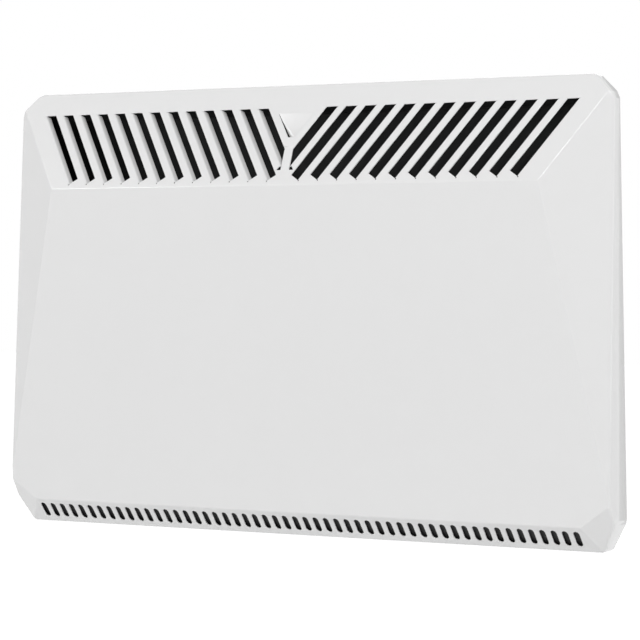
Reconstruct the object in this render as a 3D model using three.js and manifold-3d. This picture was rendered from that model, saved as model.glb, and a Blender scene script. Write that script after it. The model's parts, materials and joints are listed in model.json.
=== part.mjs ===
// Wall panel convector heater: a folded sheet-steel front cover on a pressed rear casing, with the
// heating element, its controls and the wall bracket inside and behind it.
// Millimetres. +X to the right, +Z up, the front faces -Y. The origin is on the wall, at the middle
// of the wall bracket's cross bar; every height below is measured from the heater's bottom edge.
import * as THREE from "three";
import { ConvexGeometry } from "three/addons/geometries/ConvexGeometry.js";
import { mergeVertices } from "three/addons/utils/BufferGeometryUtils.js";
import Module from "manifold-3d";

const wasm = await Module();
wasm.setup();

// Outline of the front cover
const width = 640;
const height = 413;
const sideTaper = 4; // how far each side leans in between the bottom and the top
const cornerCut = 18; // leg of the upper clipped corners
const footCut = 14; // legs of the lower clipped corners
const footCutRise = 26;
const cornerRadius = 16; // softening at the ends of a clipped corner
const footRadius = 7; // softening between a lower clipped corner and the bottom
const rimDepth = 69; // wall to the cover's rear edge

// Folds of the front cover, as depths in front of its rear edge and heights above its bottom
const topDepth = 6.5;
const foldDepth = 44.7;
const foldDrop = 91.6; // top to the fold between the grille and the main face
const foldInset = 61.5; // half width to the ends of that fold
const shoulderInset = 11.3; // half width to where the side folds reach the clipped corners
const shoulderDrop = 19.3; // top to the same point
const footDepth = 34.3;
const footHeight = 42.8;
const sillHeight = 22.7;
const sillInset = 29;
const bottomDepth = 16.2;
const bottomInset = 14;
const foldHeight = height - foldDrop;
const foldHalf = width / 2 - foldInset;
const shoulderHalf = width / 2 - shoulderInset;
const sillHalf = width / 2 - sillInset;
const bottomHalf = width / 2 - bottomInset;
const sheet = 1; // cover sheet
const foldRadius = 3;
const foldSteps = 3;
const rimFlange = 13; // return flange round the cover's rear edge

// Outlet grille
const louvrePitch = 20.19;
const louvreInset = 34.7; // half width to the outermost slot's hinge corner
const louvreMiddle = 43; // the innermost slot's hinge corner stays this far from the middle
const louvreReach = width / 2 - louvreInset;
const louvreCount = Math.floor((louvreReach - louvreMiddle) / louvrePitch) + 1; // on each side
const louvreTop = 22.5; // top edge of the facet to the slots
const louvreLength = 86;
const louvreWidth = 10;
const louvreLean = THREE.MathUtils.degToRad(33);
const louvreFold = 0.7; // the tab's bend starts this far outside the slot
const louvreRadius = 1.5;
const louvreReturn = 5.2; // length of a tab's sheet from the start of its bend
const louvreAngle = THREE.MathUtils.degToRad(60);
const cutWidth = 0.5; // width of a cutting line in the sheet
const reliefRadius = 0.8;
const middleBar = 8.8; // upright bar between the two groups of slots
const middleFoot = 84.4; // top edge of the facet to the lower end of the slots beside the bar
const skin = 0.05; // a bent tab is this much thinner than the sheet on each side

// Bent tab in the middle of the grille
const wedgeTop = 28;
const wedgeLength = 23.6;
const wedgeTopHalf = 18.5;
const wedgeFootHalf = 3;
const wedgeAngle = THREE.MathUtils.degToRad(8.6);

// Intake slots
const intakePitch = 10.97;
const intakeMargin = 5.5; // the end slots' middles stay this far from the ends of their facet
const intakeCount = 2 * Math.floor((sillHalf - intakeMargin) / intakePitch) + 1;
const intakeLength = 17.8;
const intakeWidth = 6;
const intakeShift = 0.8; // the slots sit this much above the middle of their facet

// Rear casing
const clearance = 0.3; // gap between pieces that touch
const overrun = 2; // cutters run this far past the walls they cut
const overlap = 1; // parts of one solid run this far into each other
const casingSheet = 1;
const plateInset = 4; // the back plate stays this far inside the cover's outline
const traySide = 42; // half width to the tray's sides
const trayHalf = width / 2 - traySide;
const trayLow = 22;
const trayTop = 21; // outline's top to the tray's top
const trayHigh = height - trayTop;
const trayBack = 22; // wall to the tray's back
const trayRadius = 6;
const ventCount = 16;
const ventPitch = 26;
const ventWidth = 6;
const ventLength = 24;

// Outlet hood and intake screen
const hoodSheet = 0.8;
const hoodSide = 24; // half width to the hood's sides
const hoodHalf = width / 2 - hoodSide;
const hoodNeckGap = 4; // tray's sides and top to the hood's neck
const hoodNeckHalf = trayHalf - hoodNeckGap;
const hoodNeckHigh = trayHigh - hoodNeckGap;
const hoodLow = 212;
const hoodTop = 19; // outline's top to the hood's top
const hoodHigh = height - hoodTop;
const hoodBack = 35;
const hoodMargin = 1.2; // hood edges stop this far behind the cover's sheet
const hoodScrewHeight = 250;
const screenGap = 2.5;
const screenThickness = 1.2;
const screenSide = 24; // half width to the screen's ends
const screenHalf = width / 2 - screenSide;

// Heating element, from the tray's left side to the partition
const controlBay = 46; // partition to the tray's right side
const partitionX = trayHalf - controlBay;
const elementHeight = 100;
const elementDepth = 60;
const coreStart = 53; // tray's left side to the core
const coreEnd = 37; // core to the partition
const coreLeft = coreStart - trayHalf;
const coreRight = partitionX - coreEnd;
const coreBoss = 8;
const finReach = 24;
const finThickness = 2.6;
const finAngle = THREE.MathUtils.degToRad(42);
const notchCount = 10;
const notchWidth = 4;
const notchDepth = 13;
const rodRadius = 4;
const rodOverhang = 20; // rod beyond each end of the core
const pinRadius = 2;
const pinLength = 9; // pin beyond the end of the rod
const pinSeat = 6;
const bushRadius = 7;
const bushLength = 12;
const bushFlange = 2;
const endBracketGap = 10; // end of the core to the end bracket
const endBracketSheet = 1.5;
const endBracketHalf = 22;
const endBracketFront = 82;
const footLength = 14;

// Heat shield, partition and overheat cut-out
const shieldDepth = 30;
const shieldSheet = 0.8;
const shieldGap = 4; // shield to the end brackets
const shieldFoot = 12;
const shieldScrewHeight = 185;
const shieldLow = 70;
const ductGap = 7; // shield and partition to the hood
const shieldHigh = hoodLow - ductGap;
const partitionSheet = 1;
const partitionLow = 30;
const partitionHigh = hoodLow - ductGap;
const partitionFront = 98;
const partitionFoot = 10;
const partitionScrewHeight = 150;
const leadHoleRadius = 3.5;
const leadHoles = [[45, 190], [33, 76]]; // depth and height
const cutoutGap = 26; // middle of the cut-out to the partition
const cutoutX = partitionX - cutoutGap;
const cutoutHeight = 138;
const cutoutRadius = 8;
const cutoutBody = 6;
const cutoutPlate = 1;
const cutoutPlateHalf = 10;
const cutoutPlateEnd = 11; // plate beyond the middle of the cut-out
const cutoutFlange = 16;
const cutoutPost = 1.9;
const cutoutPostOffset = 4;
const cutoutPostWidth = 3;
const cutoutPostDepth = 5;

// Controls on the right side of the tray
const controlDepth = 45;
const panelHalf = 18;
const panelThickness = 3;
const knobHeight = 186;
const switchDrop = 50; // knob to the switch
const lensDrop = 26; // switch to the lens
const switchHeight = knobHeight - switchDrop;
const lensHeight = switchHeight - lensDrop;
const panelFoot = 14; // lens to the panel's lower end
const panelHead = 30; // knob to the panel's upper end
const panelLow = lensHeight - panelFoot;
const panelHigh = knobHeight + panelHead;
const windowMargin = 7; // the tray's opening stays this far inside the panel
const knobRadius = 15;
const knobLength = 12;
const knobFlutes = 12;
const shaftRadius = 3;
const thermostatHalf = 14;
const thermostatLength = 26;
const switchHalfDepth = 6.5;
const switchHalfHeight = 10.5;
const switchLength = 18;
const bezelLip = 2;
const switchWall = 1.2;
const terminalLength = 2.5;
const terminalHalf = 2;
const terminalOffset = 6;
const rockerRadius = 8.8;
const rockerRise = 3.2; // ends of the rocker above its pivot
const rockerDip = 1.2; // middle of the rocker above its pivot
const rockerTilt = THREE.MathUtils.degToRad(9); // at rest, one end pressed in
const neckRadius = 5;
const neckReach = 2; // thermostat's neck beyond the panel
const shaftSeat = 11; // shaft inside the thermostat's neck
const knobGap = 0.6;
const knobFace = 2; // knob's thickness in front of its bore
const knobMark = 1.4;
const lensRadius = 3;
const lensLip = 1.2;
const lensLength = 9;
const terminalStep = 8; // thermostat's terminals above and below its middle

// Mains entry
const glandInset = 22; // tray's side to the middle of the gland
const glandX = trayHalf - glandInset;
const glandRadius = 6;
const glandBore = 3.8;
const glandFlange = 9;
const glandCollar = 7.5;
const glandBelow = 9;
const glandAbove = 12;
const nutRadius = 9.5;
const nutHeight = 4;
const blockInset = 23; // tray's side to the middle of the terminal block
const blockX = trayHalf - blockInset;
const blockHalf = 9;
const blockLow = 46;
const blockHigh = 70;
const blockDepth = 40;
const polePitch = 6;
const poleDepth = 33;
const poleSeat = 5;
const clampInset = 8; // ends of the terminal block to its clamps
const clampDepth = 3;
const earthInset = 12; // tray's side to the earth screw
const earthX = trayHalf - earthInset;
const earthHeight = 100;

// Wires; each bend is given beyond the partition, or beyond the core's left end, then depth and height
const wireRadius = 1.1;
const wireSides = 6;
const wireSteps = 14;
const leadRun = 7.5; // straight stretch before a terminal
const poleRise = 3; // straight stretch above the terminal block
const neutralRise = 9;
const cutoutRise = 12.5;
const liveBends = [[17, 36, 84], [15, 41, 105], [14, 44, 122]];
const switchedBends = [[11, 45, 149], [9, 45, 163], [11, 45, 177]];
const cutoutBend = [11, 45, 194];
const cutoutBends = [[-8, 49, 184], [-19, 58, 170]];
const elementBends = [[-27, 67, 160], [-19, 75, 148], [-13, 77, 128], [-12.5, 73, 107]];
const neutralBends = [[17, 27, 85], [9, 31, 79]];
const neutralRun = [[-7, 33, 69], [-11, 33, 48], [-24, 33, 29], [-47, 33, 27]];
const neutralEnd = [[225, 33, 27], [10, 33, 27], [-23, 35, 32], [-37, 45, 60], [-40, 57, 90]];
const neutralReach = 37; // core's left end to the wire's last bend
const earthBends = [[29, 34, 82], [32, 37, 93], [34, 34, 100]];

// Wall bracket and what locks the heater on it
const bracketHeight = 215; // heater's bottom edge to the middle of the cross bar
const bracketSheet = 1.5;
const bracketHalf = 160;
const bracketReach = 100; // half its height
const bracketStrip = 20;
const bracketHole = 2.8;
const hookX = 100;
const hookHalf = 12;
const hookLip = 10;
const hookSlack = 3; // room under a hook's lip as it goes through its slot
const hookDrop = 15; // top of the bracket to the hooks
const hookReach = 26;
const footDrop = 15; // the bracket's feet reach this far below it
const footRise = 2; // bottom of the bracket to the feet's arms
const catchX = 100;
const catchDrop = 12; // pivot below the bracket's lower flange
const catchThickness = 2;
const catchHalf = 8;
const catchTip = 6;
const catchReach = 24;
const rivetRadius = 3;
const rivetHead = 5.5;
const rivetShoulder = 4.5;
const rivetHeadHeight = 1.7;
const spacerInset = 73; // tray's side to the middle of a spacer
const spacerX = trayHalf - spacerInset;
const spacerHeight = 62;
const spacerRadius = 9;
const pegRadius = 2.5;
const pegLength = 4;

// Screws
const screwRadius = 1.7;
const screwHead = 3.6;
const screwHeadHeight = 2;
const screwSlot = 0.9;
const screwSides = 8;
const coverScrewInset = 8.5; // outline to the cover screws
const coverScrewHeights = [110, 300];
const screwSpare = 2; // shank beyond the sheets it holds
const bodyScrewLength = 5; // screws in the tray, the terminal block, the control panel and the rest
const blockScrewLength = 8;
const panelScrewLength = 7;
const shortScrewLength = 4;

// ---------- helpers ----------

const at = (x, depth, z) => new THREE.Vector3(x, -depth, z);
const halfAt = (z) => width / 2 - (sideTaper * z) / height;
const insideCover = at(0, rimDepth + bottomDepth / 2, height / 2);

function indexed(geometry) {
  const bare = geometry.clone();
  bare.deleteAttribute("normal");
  bare.deleteAttribute("uv");
  return mergeVertices(bare, 1e-4);
}

function solidOf(geometry) {
  const { attributes, index } = indexed(geometry);
  const vertProperties = new Float32Array(attributes.position.array);
  const triVerts = new Uint32Array(index.array);
  return new wasm.Manifold(new wasm.Mesh({ numProp: 3, vertProperties, triVerts }));
}

function geometryOf(solid) {
  const { vertProperties, triVerts } = solid.getMesh();
  const geometry = new THREE.BufferGeometry();
  geometry.setAttribute("position", new THREE.BufferAttribute(vertProperties, 3));
  geometry.setIndex(new THREE.BufferAttribute(triVerts, 1));
  geometry.computeVertexNormals();
  return geometry;
}

// A geometry mirrored left to right, with its faces turned back outwards.
function mirrored(geometry) {
  const copy = indexed(geometry).scale(-1, 1, 1);
  const corners = copy.index.array;
  for (let i = 0; i < corners.length; i += 3) {
    [corners[i], corners[i + 1]] = [corners[i + 1], corners[i]];
  }
  return copy;
}

const both = (geometry) => [geometry, mirrored(geometry)];
const combined = (method, first, others) =>
  geometryOf(others.flat().reduce((solid, part) => solid[method](solidOf(part)), solidOf(first)));
const joined = (first, ...others) => combined("add", first, others);
const without = (first, ...others) => combined("subtract", first, others);
const common = (first, ...others) => combined("intersect", first, others);

const span = (a, b) => (a < b ? [a, b] : [b, a]);
const row = (count, pitch) => Array.from({ length: count }, (_, k) => (k - (count - 1) / 2) * pitch);

// A box between two x values, two depths from the wall and two heights.
function block([left, right], [near, far], [low, high]) {
  const shape = new THREE.BoxGeometry(right - left, far - near, high - low);
  return shape.translate((left + right) / 2, -(near + far) / 2, (low + high) / 2);
}

function rod(radius, from, to, sides = 12) {
  const axis = to.clone().sub(from);
  const shape = new THREE.CylinderGeometry(radius, radius, axis.length(), sides);
  const turn = new THREE.Quaternion().setFromUnitVectors(new THREE.Vector3(0, 1, 0), axis.normalize());
  return shape.applyQuaternion(turn).translate(...from.clone().add(to).multiplyScalar(0.5).toArray());
}

// A turned piece along local +Z; the outline lists radius and distance, from axis to axis.
function turned(outline, sides = 12) {
  const points = outline.map(([radius, along]) => new THREE.Vector2(radius, along));
  return new THREE.LatheGeometry(points, sides).rotateX(Math.PI / 2);
}

const cylinder = (radius, from, to, sides) =>
  turned([[0, from], [radius, from], [radius, to], [0, to]], sides);

function extruded(shape, depth, curveSegments = 2) {
  return new THREE.ExtrudeGeometry(shape, { depth, bevelEnabled: false, curveSegments });
}

function planeThrough(a, b, c) {
  const plane = new THREE.Plane().setFromCoplanarPoints(a, b, c);
  return plane.distanceToPoint(insideCover) > 0 ? plane.negate() : plane;
}

const planeOf = (x, y, z, point) =>
  new THREE.Plane().setFromNormalAndCoplanarPoint(new THREE.Vector3(x, y, z).normalize(), point);
const mirrorPlane = ({ normal, constant }) =>
  new THREE.Plane(new THREE.Vector3(-normal.x, normal.y, normal.z), constant);
const insetPlane = ({ normal, constant }, inset) => new THREE.Plane(normal.clone(), constant + inset);

// Where three planes meet, or null if two of them are parallel.
function meet(a, b, c) {
  const bc = b.normal.clone().cross(c.normal);
  const volume = a.normal.dot(bc);
  if (Math.abs(volume) < 1e-9) return null;
  const ca = c.normal.clone().cross(a.normal);
  const ab = a.normal.clone().cross(b.normal);
  return bc.multiplyScalar(-a.constant)
    .addScaledVector(ca, -b.constant)
    .addScaledVector(ab, -c.constant)
    .divideScalar(volume);
}

// The plane that touches an arc of the given radius between two walls of the outline.
function softened(a, b, radius) {
  const level = planeOf(0, 1, 0, at(0, 0, 0));
  const centre = meet(insetPlane(a, radius), insetPlane(b, radius), level);
  const normal = a.normal.clone().add(b.normal).normalize();
  return new THREE.Plane(normal, -normal.dot(centre) - radius);
}

// A closed convex body inside the planes, moved in by inset, with every edge rounded to a radius.
function foldedBody(planes, inset, radius, steps = foldSteps) {
  const moved = planes.map((plane) => insetPlane(plane, inset + radius));
  const points = [];
  const roundCorner = (corner, from, to) => {
    const turn = new THREE.Quaternion().setFromUnitVectors(from, to);
    for (let k = 0; k <= steps; k++) {
      const part = new THREE.Quaternion().slerp(turn, k / steps);
      points.push(corner.clone().addScaledVector(from.clone().applyQuaternion(part), radius));
    }
  };
  for (let i = 0; i < moved.length; i++) {
    for (let j = i + 1; j < moved.length; j++) {
      for (let k = j + 1; k < moved.length; k++) {
        const corner = meet(moved[i], moved[j], moved[k]);
        if (!corner || moved.some((plane) => plane.distanceToPoint(corner) > 1e-6)) continue;
        roundCorner(corner, moved[i].normal, moved[j].normal);
        roundCorner(corner, moved[j].normal, moved[k].normal);
        roundCorner(corner, moved[k].normal, moved[i].normal);
      }
    }
  }
  return new ConvexGeometry(points);
}

// Everything on the outer side of a plane, as a block big enough for this object.
function beyond(plane) {
  const size = 3 * width;
  const shape = new THREE.BoxGeometry(size, size, size).translate(0, 0, size / 2);
  const turn = new THREE.Quaternion().setFromUnitVectors(new THREE.Vector3(0, 0, 1), plane.normal);
  const onPlane = plane.normal.clone().multiplyScalar(-plane.constant);
  return shape.applyQuaternion(turn).translate(...onPlane.toArray());
}

const behindDepth = (depth) => beyond(planeOf(0, 1, 0, at(0, depth, 0)));

const heater = new THREE.Group();
heater.position.z = -bracketHeight;

function place(name, geometry, finish, position = new THREE.Vector3(), axis = new THREE.Vector3(0, 0, 1)) {
  const mesh = new THREE.Mesh(geometry, new THREE.MeshStandardMaterial(finish));
  mesh.name = name;
  mesh.position.copy(position);
  mesh.quaternion.setFromUnitVectors(new THREE.Vector3(0, 0, 1), axis);
  heater.add(mesh);
  return mesh;
}

const whitePaint = { color: 0xe6e6e6, roughness: 0.45, metalness: 0 };
const galvanised = { color: 0xa9adb0, roughness: 0.45, metalness: 0.9 };
const blackPaint = { color: 0x0b0b0c, roughness: 0.85, metalness: 0 };
const castAluminium = { color: 0xb4b6b8, roughness: 0.5, metalness: 0.9 };
const stainless = { color: 0x9b9a96, roughness: 0.35, metalness: 1 };
const ceramic = { color: 0xe9e4d8, roughness: 0.6, metalness: 0 };
const whitePlastic = { color: 0xdedede, roughness: 0.4, metalness: 0 };
const blackPlastic = { color: 0x17181a, roughness: 0.5, metalness: 0 };
const greyRubber = { color: 0x4a4b4d, roughness: 0.9, metalness: 0 };
const zincSteel = { color: 0xc3c5c6, roughness: 0.3, metalness: 1 };
const amberLens = { color: 0xd9822b, roughness: 0.15, metalness: 0 };

// ---------- front cover ----------

const mainSlope = (foldDepth - footDepth) / (foldHeight - footHeight);
const mainDepthAt = (z) => rimDepth + footDepth + mainSlope * (z - footHeight);
const grilleSlope = (foldDepth - topDepth) / (height - foldHeight);
const grilleDepthAt = (z) => rimDepth + topDepth + grilleSlope * (height - z);

const foldCorner = at(foldHalf, rimDepth + foldDepth, foldHeight);
const shoulder = at(shoulderHalf, grilleDepthAt(height - shoulderDrop), height - shoulderDrop);
const foot = at(halfAt(footHeight), rimDepth + footDepth, footHeight);
const sillCorner = at(sillHalf, mainDepthAt(sillHeight), sillHeight);
const bottomCorner = at(bottomHalf, rimDepth + bottomDepth, 0);

// Walls of the outline: bottom, top, sides and clipped corners.
function outlinePlanes() {
  const side = planeThrough(at(halfAt(0), 0, 0), at(halfAt(0), 1, 0), at(halfAt(height), 0, height));
  const top = planeOf(0, 0, 1, at(0, 0, height));
  const bottom = planeOf(0, 0, -1, at(0, 0, 0));
  const clip = (inwards, end, near) => {
    const across = at(halfAt(end) - inwards, 0, end);
    return planeThrough(across, across.clone().setY(-1), at(halfAt(near), 0, near));
  };
  const topClip = clip(cornerCut, height, height - cornerCut);
  const bottomClip = clip(footCut, 0, footCutRise);
  const right = [
    side,
    softened(top, topClip, cornerRadius),
    topClip,
    softened(topClip, side, cornerRadius),
    softened(side, bottomClip, cornerRadius),
    bottomClip,
    softened(bottomClip, bottom, footRadius),
  ];
  return [top, bottom, ...right, ...right.map(mirrorPlane)];
}

// Folded faces of the front: main face, grille facet, intake facet, side and bottom corner facets.
function facePlanes() {
  const across = new THREE.Vector3(1, 0, 0);
  const level = (a, b) => planeThrough(a, a.clone().add(across), b);
  const topLine = at(0, rimDepth + topDepth, height);
  const main = level(foldCorner, sillCorner);
  const grille = level(foldCorner, topLine);
  const intake = level(sillCorner, bottomCorner);
  const side = planeThrough(foldCorner, shoulder, foot);
  const corner = planeThrough(foot, sillCorner, bottomCorner);
  return [main, grille, intake, side, corner, mirrorPlane(side), mirrorPlane(corner)];
}

const outline = outlinePlanes();
const rearLimit = planeOf(0, 1, 0, at(0, rimDepth - rimFlange, 0));
const coverPlanes = [...outline, ...facePlanes(), rearLimit];

// A frame on a facet: X across, Y up the facet, Z out of it.
function facetFrame(origin, low, high) {
  const across = new THREE.Vector3(1, 0, 0);
  const upward = high.clone().sub(low).setX(0).normalize();
  const outward = across.clone().cross(upward);
  return new THREE.Matrix4().makeBasis(across, upward, outward).setPosition(origin);
}

const topMiddle = at(0, rimDepth + topDepth, height);
const grilleFrame = facetFrame(topMiddle, foldCorner, topMiddle);
const intakeMiddle = sillCorner.clone().add(bottomCorner).multiplyScalar(0.5).setX(0);
const intakeFrame = facetFrame(intakeMiddle, bottomCorner, sillCorner);

const louvreDown = new THREE.Vector2(Math.sin(louvreLean), -Math.cos(louvreLean));
const louvreAcross = new THREE.Vector2(Math.cos(louvreLean), Math.sin(louvreLean));
const hingeTop = (k) => new THREE.Vector2(-louvreReach + k * louvrePitch, -louvreTop);
const hingeFoot = (k) => hingeTop(k).addScaledVector(louvreDown, louvreLength);
const freeFoot = (k) => hingeFoot(k).addScaledVector(louvreAcross, louvreWidth);
const meetsBar = (k) => freeFoot(k).x > -middleBar / 2;
const cutterReach = 6; // cutters go this far through a facet on both sides

// The cutter for one left-hand louvre's slot, with its relief hole at the hinge's lower end.
function louvreSlot(k) {
  const top = hingeTop(k);
  const foldShift = louvreFold / Math.cos(louvreLean);
  const slotShift = louvreWidth / Math.cos(louvreLean);
  const hingeEnd = hingeFoot(k).addScaledVector(louvreAcross, -louvreFold);
  const slot = new THREE.Shape([
    new THREE.Vector2(top.x - foldShift, top.y),
    hingeEnd,
    freeFoot(k),
    new THREE.Vector2(top.x + slotShift, top.y),
  ]);
  const prism = extruded(slot, 2 * cutterReach).translate(0, 0, -cutterReach);
  const relief = new THREE.CylinderGeometry(reliefRadius, reliefRadius, 2 * cutterReach, 6);
  relief.rotateX(Math.PI / 2).translate(hingeEnd.x, hingeEnd.y, 0);
  const bar = new THREE.BoxGeometry(middleBar, 2 * width, 4 * cutterReach);
  const foot = new THREE.BoxGeometry(width, width, 4 * cutterReach);
  foot.translate(0, -middleFoot - width / 2, 0);
  return without(joined(prism, relief), bar, meetsBar(k) ? foot : []);
}

// One left-hand louvre tab, bent inwards about its hinge.
// Local X goes into the slot, Y inwards from the sheet's face, Z up along the hinge.
function louvreTab(k) {
  const outer = louvreRadius - skin;
  const inner = louvreRadius - sheet + skin;
  const start = -Math.PI / 2;
  const end = start + louvreAngle;
  const straight = louvreReturn - louvreRadius * louvreAngle;
  const runX = straight * Math.cos(louvreAngle) - louvreFold;
  const runY = straight * Math.sin(louvreAngle) + louvreRadius;
  const root = -louvreFold - sheet / 2;
  const section = new THREE.Shape();
  section.moveTo(root, skin);
  section.absarc(-louvreFold, louvreRadius, outer, start, end, false);
  section.lineTo(runX + outer * Math.cos(end), runY + outer * Math.sin(end));
  section.lineTo(runX + inner * Math.cos(end), runY + inner * Math.sin(end));
  section.absarc(-louvreFold, louvreRadius, inner, end, start, true);
  section.lineTo(root, sheet - skin);
  const strip = extruded(section, louvreLength - cutWidth).translate(0, 0, cutWidth);
  const top = planeOf(0, Math.sin(louvreLean), Math.cos(louvreLean), new THREE.Vector3(0, 0, louvreLength));
  const barGap = -middleBar / 2 - cutWidth - hingeFoot(k).x;
  const bar = new THREE.Plane(new THREE.Vector3(0, Math.cos(louvreLean), -Math.sin(louvreLean)), -barGap);
  const footGap = cutWidth - middleFoot - hingeFoot(k).y;
  const foot = new THREE.Plane(new THREE.Vector3(0, -Math.sin(louvreLean), -Math.cos(louvreLean)), footGap);
  const hinge = new THREE.Matrix4().makeBasis(
    new THREE.Vector3(louvreAcross.x, louvreAcross.y, 0),
    new THREE.Vector3(0, 0, -1),
    new THREE.Vector3(-louvreDown.x, -louvreDown.y, 0),
  );
  hinge.setPosition(hingeFoot(k).x, hingeFoot(k).y, 0);
  return without(strip, beyond(top), beyond(bar), meetsBar(k) ? beyond(foot) : []).applyMatrix4(hinge);
}

// Outline of the middle tab, hinged along its top edge, and of the opening it leaves.
function wedgeShape(gap) {
  return new THREE.Shape([
    new THREE.Vector2(-wedgeTopHalf - gap, 0),
    new THREE.Vector2(-wedgeFootHalf - gap, -wedgeLength - gap),
    new THREE.Vector2(wedgeFootHalf + gap, -wedgeLength - gap),
    new THREE.Vector2(wedgeTopHalf + gap, 0),
  ]);
}

function wedgeOpening() {
  return extruded(wedgeShape(cutWidth), 2 * cutterReach).translate(0, -wedgeTop, -cutterReach);
}

function wedgeTab() {
  const tab = extruded(wedgeShape(0), sheet - 2 * skin).translate(0, 0, skin - sheet);
  const root = new THREE.BoxGeometry(2 * wedgeTopHalf, sheet, sheet - 4 * skin).translate(0, 0, -sheet / 2);
  return joined(tab.rotateX(wedgeAngle), root).translate(0, -wedgeTop, 0);
}

function intakeSlot(x) {
  const radius = intakeWidth / 2;
  const reach = intakeLength / 2 - radius;
  const slot = new THREE.Shape();
  slot.absarc(x, intakeShift + reach, radius, 0, Math.PI, false);
  slot.absarc(x, intakeShift - reach, radius, Math.PI, 2 * Math.PI, false);
  return extruded(slot, 2 * cutterReach).translate(0, 0, -cutterReach);
}

// ---------- screws: where the head seats, which way the shank points, how long it is ----------

const plateFront = rimDepth - clearance;
const plateBack = plateFront - casingSheet;
const trayFloor = trayBack + casingSheet; // inner face of the tray's back
const panelInner = trayHalf + clearance;
const panelOuter = panelInner + panelThickness;
const leftBracketX = coreLeft - endBracketGap;
const rightBracketX = coreRight + endBracketGap;
const forwards = new THREE.Vector3(0, -1, 0);
const backwards = new THREE.Vector3(0, 1, 0);
const leftwards = new THREE.Vector3(-1, 0, 0);
const rightwards = new THREE.Vector3(1, 0, 0);
const upwards = new THREE.Vector3(0, 0, 1);

const plateSeat = plateBack - clearance;
const grip = 2 * sheet + 2 * casingSheet + screwSpare; // shank through the back plate and a flange
const cutoutScrewHeight = cutoutHeight + cutoutFlange / 2 + cutoutPlate;
const screws = [];

function addScrew(name, seat, axis, length) {
  screws.push({ name, seat, axis, length });
}

const backScrew = (name, x, z, length) => addScrew(name, at(x, trayBack - clearance, z), forwards, length);

for (const [side, sign] of [["left", -1], ["right", 1]]) {
  coverScrewHeights.forEach((z, i) => {
    const x = sign * (halfAt(z) - coverScrewInset);
    addScrew(`cover_screw_${side}_${i + 1}`, at(x, plateSeat, z), forwards, grip);
  });
  const hoodScrewX = (sign * (trayHalf + hoodHalf)) / 2;
  addScrew(`hood_screw_${side}`, at(hoodScrewX, plateSeat, hoodScrewHeight), forwards, grip);
}
for (const [end, z] of [["bottom", coverScrewInset], ["top", height - coverScrewInset]]) {
  addScrew(`cover_screw_${end}`, at(0, plateSeat, z), forwards, grip);
}
for (const [side, x, away] of [["left", leftBracketX, -1], ["right", rightBracketX, 1]]) {
  for (const [level, sign] of [["lower", -1], ["upper", 1]]) {
    const screwX = x + away * (endBracketSheet + footLength / 2);
    const screwZ = elementHeight + (sign * endBracketHalf) / 2;
    backScrew(`element_screw_${side}_${level}`, screwX, screwZ, bodyScrewLength);
  }
  const shieldScrewX = x - away * (shieldGap + shieldFoot / 2);
  backScrew(`shield_screw_${side}`, shieldScrewX, shieldScrewHeight, bodyScrewLength);
}
const partitionScrewX = partitionX + partitionSheet + partitionFoot / 2;
backScrew("partition_screw", partitionScrewX, partitionScrewHeight, bodyScrewLength);
backScrew("terminal_screw", blockX, (blockLow + blockHigh) / 2, blockScrewLength);
for (const [end, z] of [["lower", panelLow + windowMargin / 2], ["upper", panelHigh - windowMargin / 2]]) {
  addScrew(`panel_screw_${end}`, at(panelOuter + clearance, controlDepth, z), leftwards, panelScrewLength);
}
addScrew("earth_screw", at(earthX, trayFloor + clearance, earthHeight), backwards, shortScrewLength);
const cutoutScrewSeat = at(partitionX + partitionSheet + clearance, elementDepth, cutoutScrewHeight);
addScrew("cutout_screw", cutoutScrewSeat, leftwards, shortScrewLength);

function screwTrack({ seat, axis, length }) {
  const start = seat.clone().addScaledVector(axis, -clearance);
  const end = seat.clone().addScaledVector(axis, length + clearance);
  return rod(screwRadius + clearance, start, end, screwSides);
}

const drilled = (geometry) => without(geometry, screws.map(screwTrack));

// Head first, with a straight slot; the shank points along local +Z.
function screw(length) {
  const body = turned([
    [0, -screwHeadHeight],
    [screwHead, -0.7 * screwHeadHeight],
    [screwHead, 0],
    [screwRadius, 0],
    [screwRadius, length],
    [0, length],
  ], screwSides);
  const slot = new THREE.BoxGeometry(3 * screwHead, screwSlot, screwHeadHeight);
  return without(body, slot.translate(0, 0, -screwHeadHeight));
}

function screwPieces() {
  for (const { name, seat, axis, length } of screws) place(name, screw(length), zincSteel, seat, axis);
}

// ---------- front cover, hood and screen ----------

function frontCover() {
  const louvres = Array.from({ length: louvreCount }, (_, k) => k);
  const skinBody = without(foldedBody(coverPlanes, 0, foldRadius), behindDepth(rimDepth));
  const inside = foldedBody(coverPlanes, sheet, foldRadius - sheet, 2);
  const hollow = without(inside, behindDepth(rimDepth + sheet));
  const mouthFront = planeOf(0, -1, 0, at(0, rimDepth + rimFlange + 3 * sheet, 0));
  const mouthBack = planeOf(0, 1, 0, at(0, rimDepth - 3 * rimFlange, 0));
  const mouth = foldedBody([...outline, mouthFront, mouthBack], rimFlange, 0, 1);
  const grilleCuts = [...louvres.flatMap((k) => both(louvreSlot(k))), wedgeOpening()];
  const intakeCuts = row(intakeCount, intakePitch).map(intakeSlot);
  const tabs = [...louvres.flatMap((k) => both(louvreTab(k))), wedgeTab()];
  const cut = without(
    skinBody,
    hollow,
    mouth,
    grilleCuts.map((part) => part.applyMatrix4(grilleFrame)),
    intakeCuts.map((part) => part.applyMatrix4(intakeFrame)),
  );
  return drilled(joined(cut, tabs.map((part) => part.applyMatrix4(grilleFrame))));
}

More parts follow.
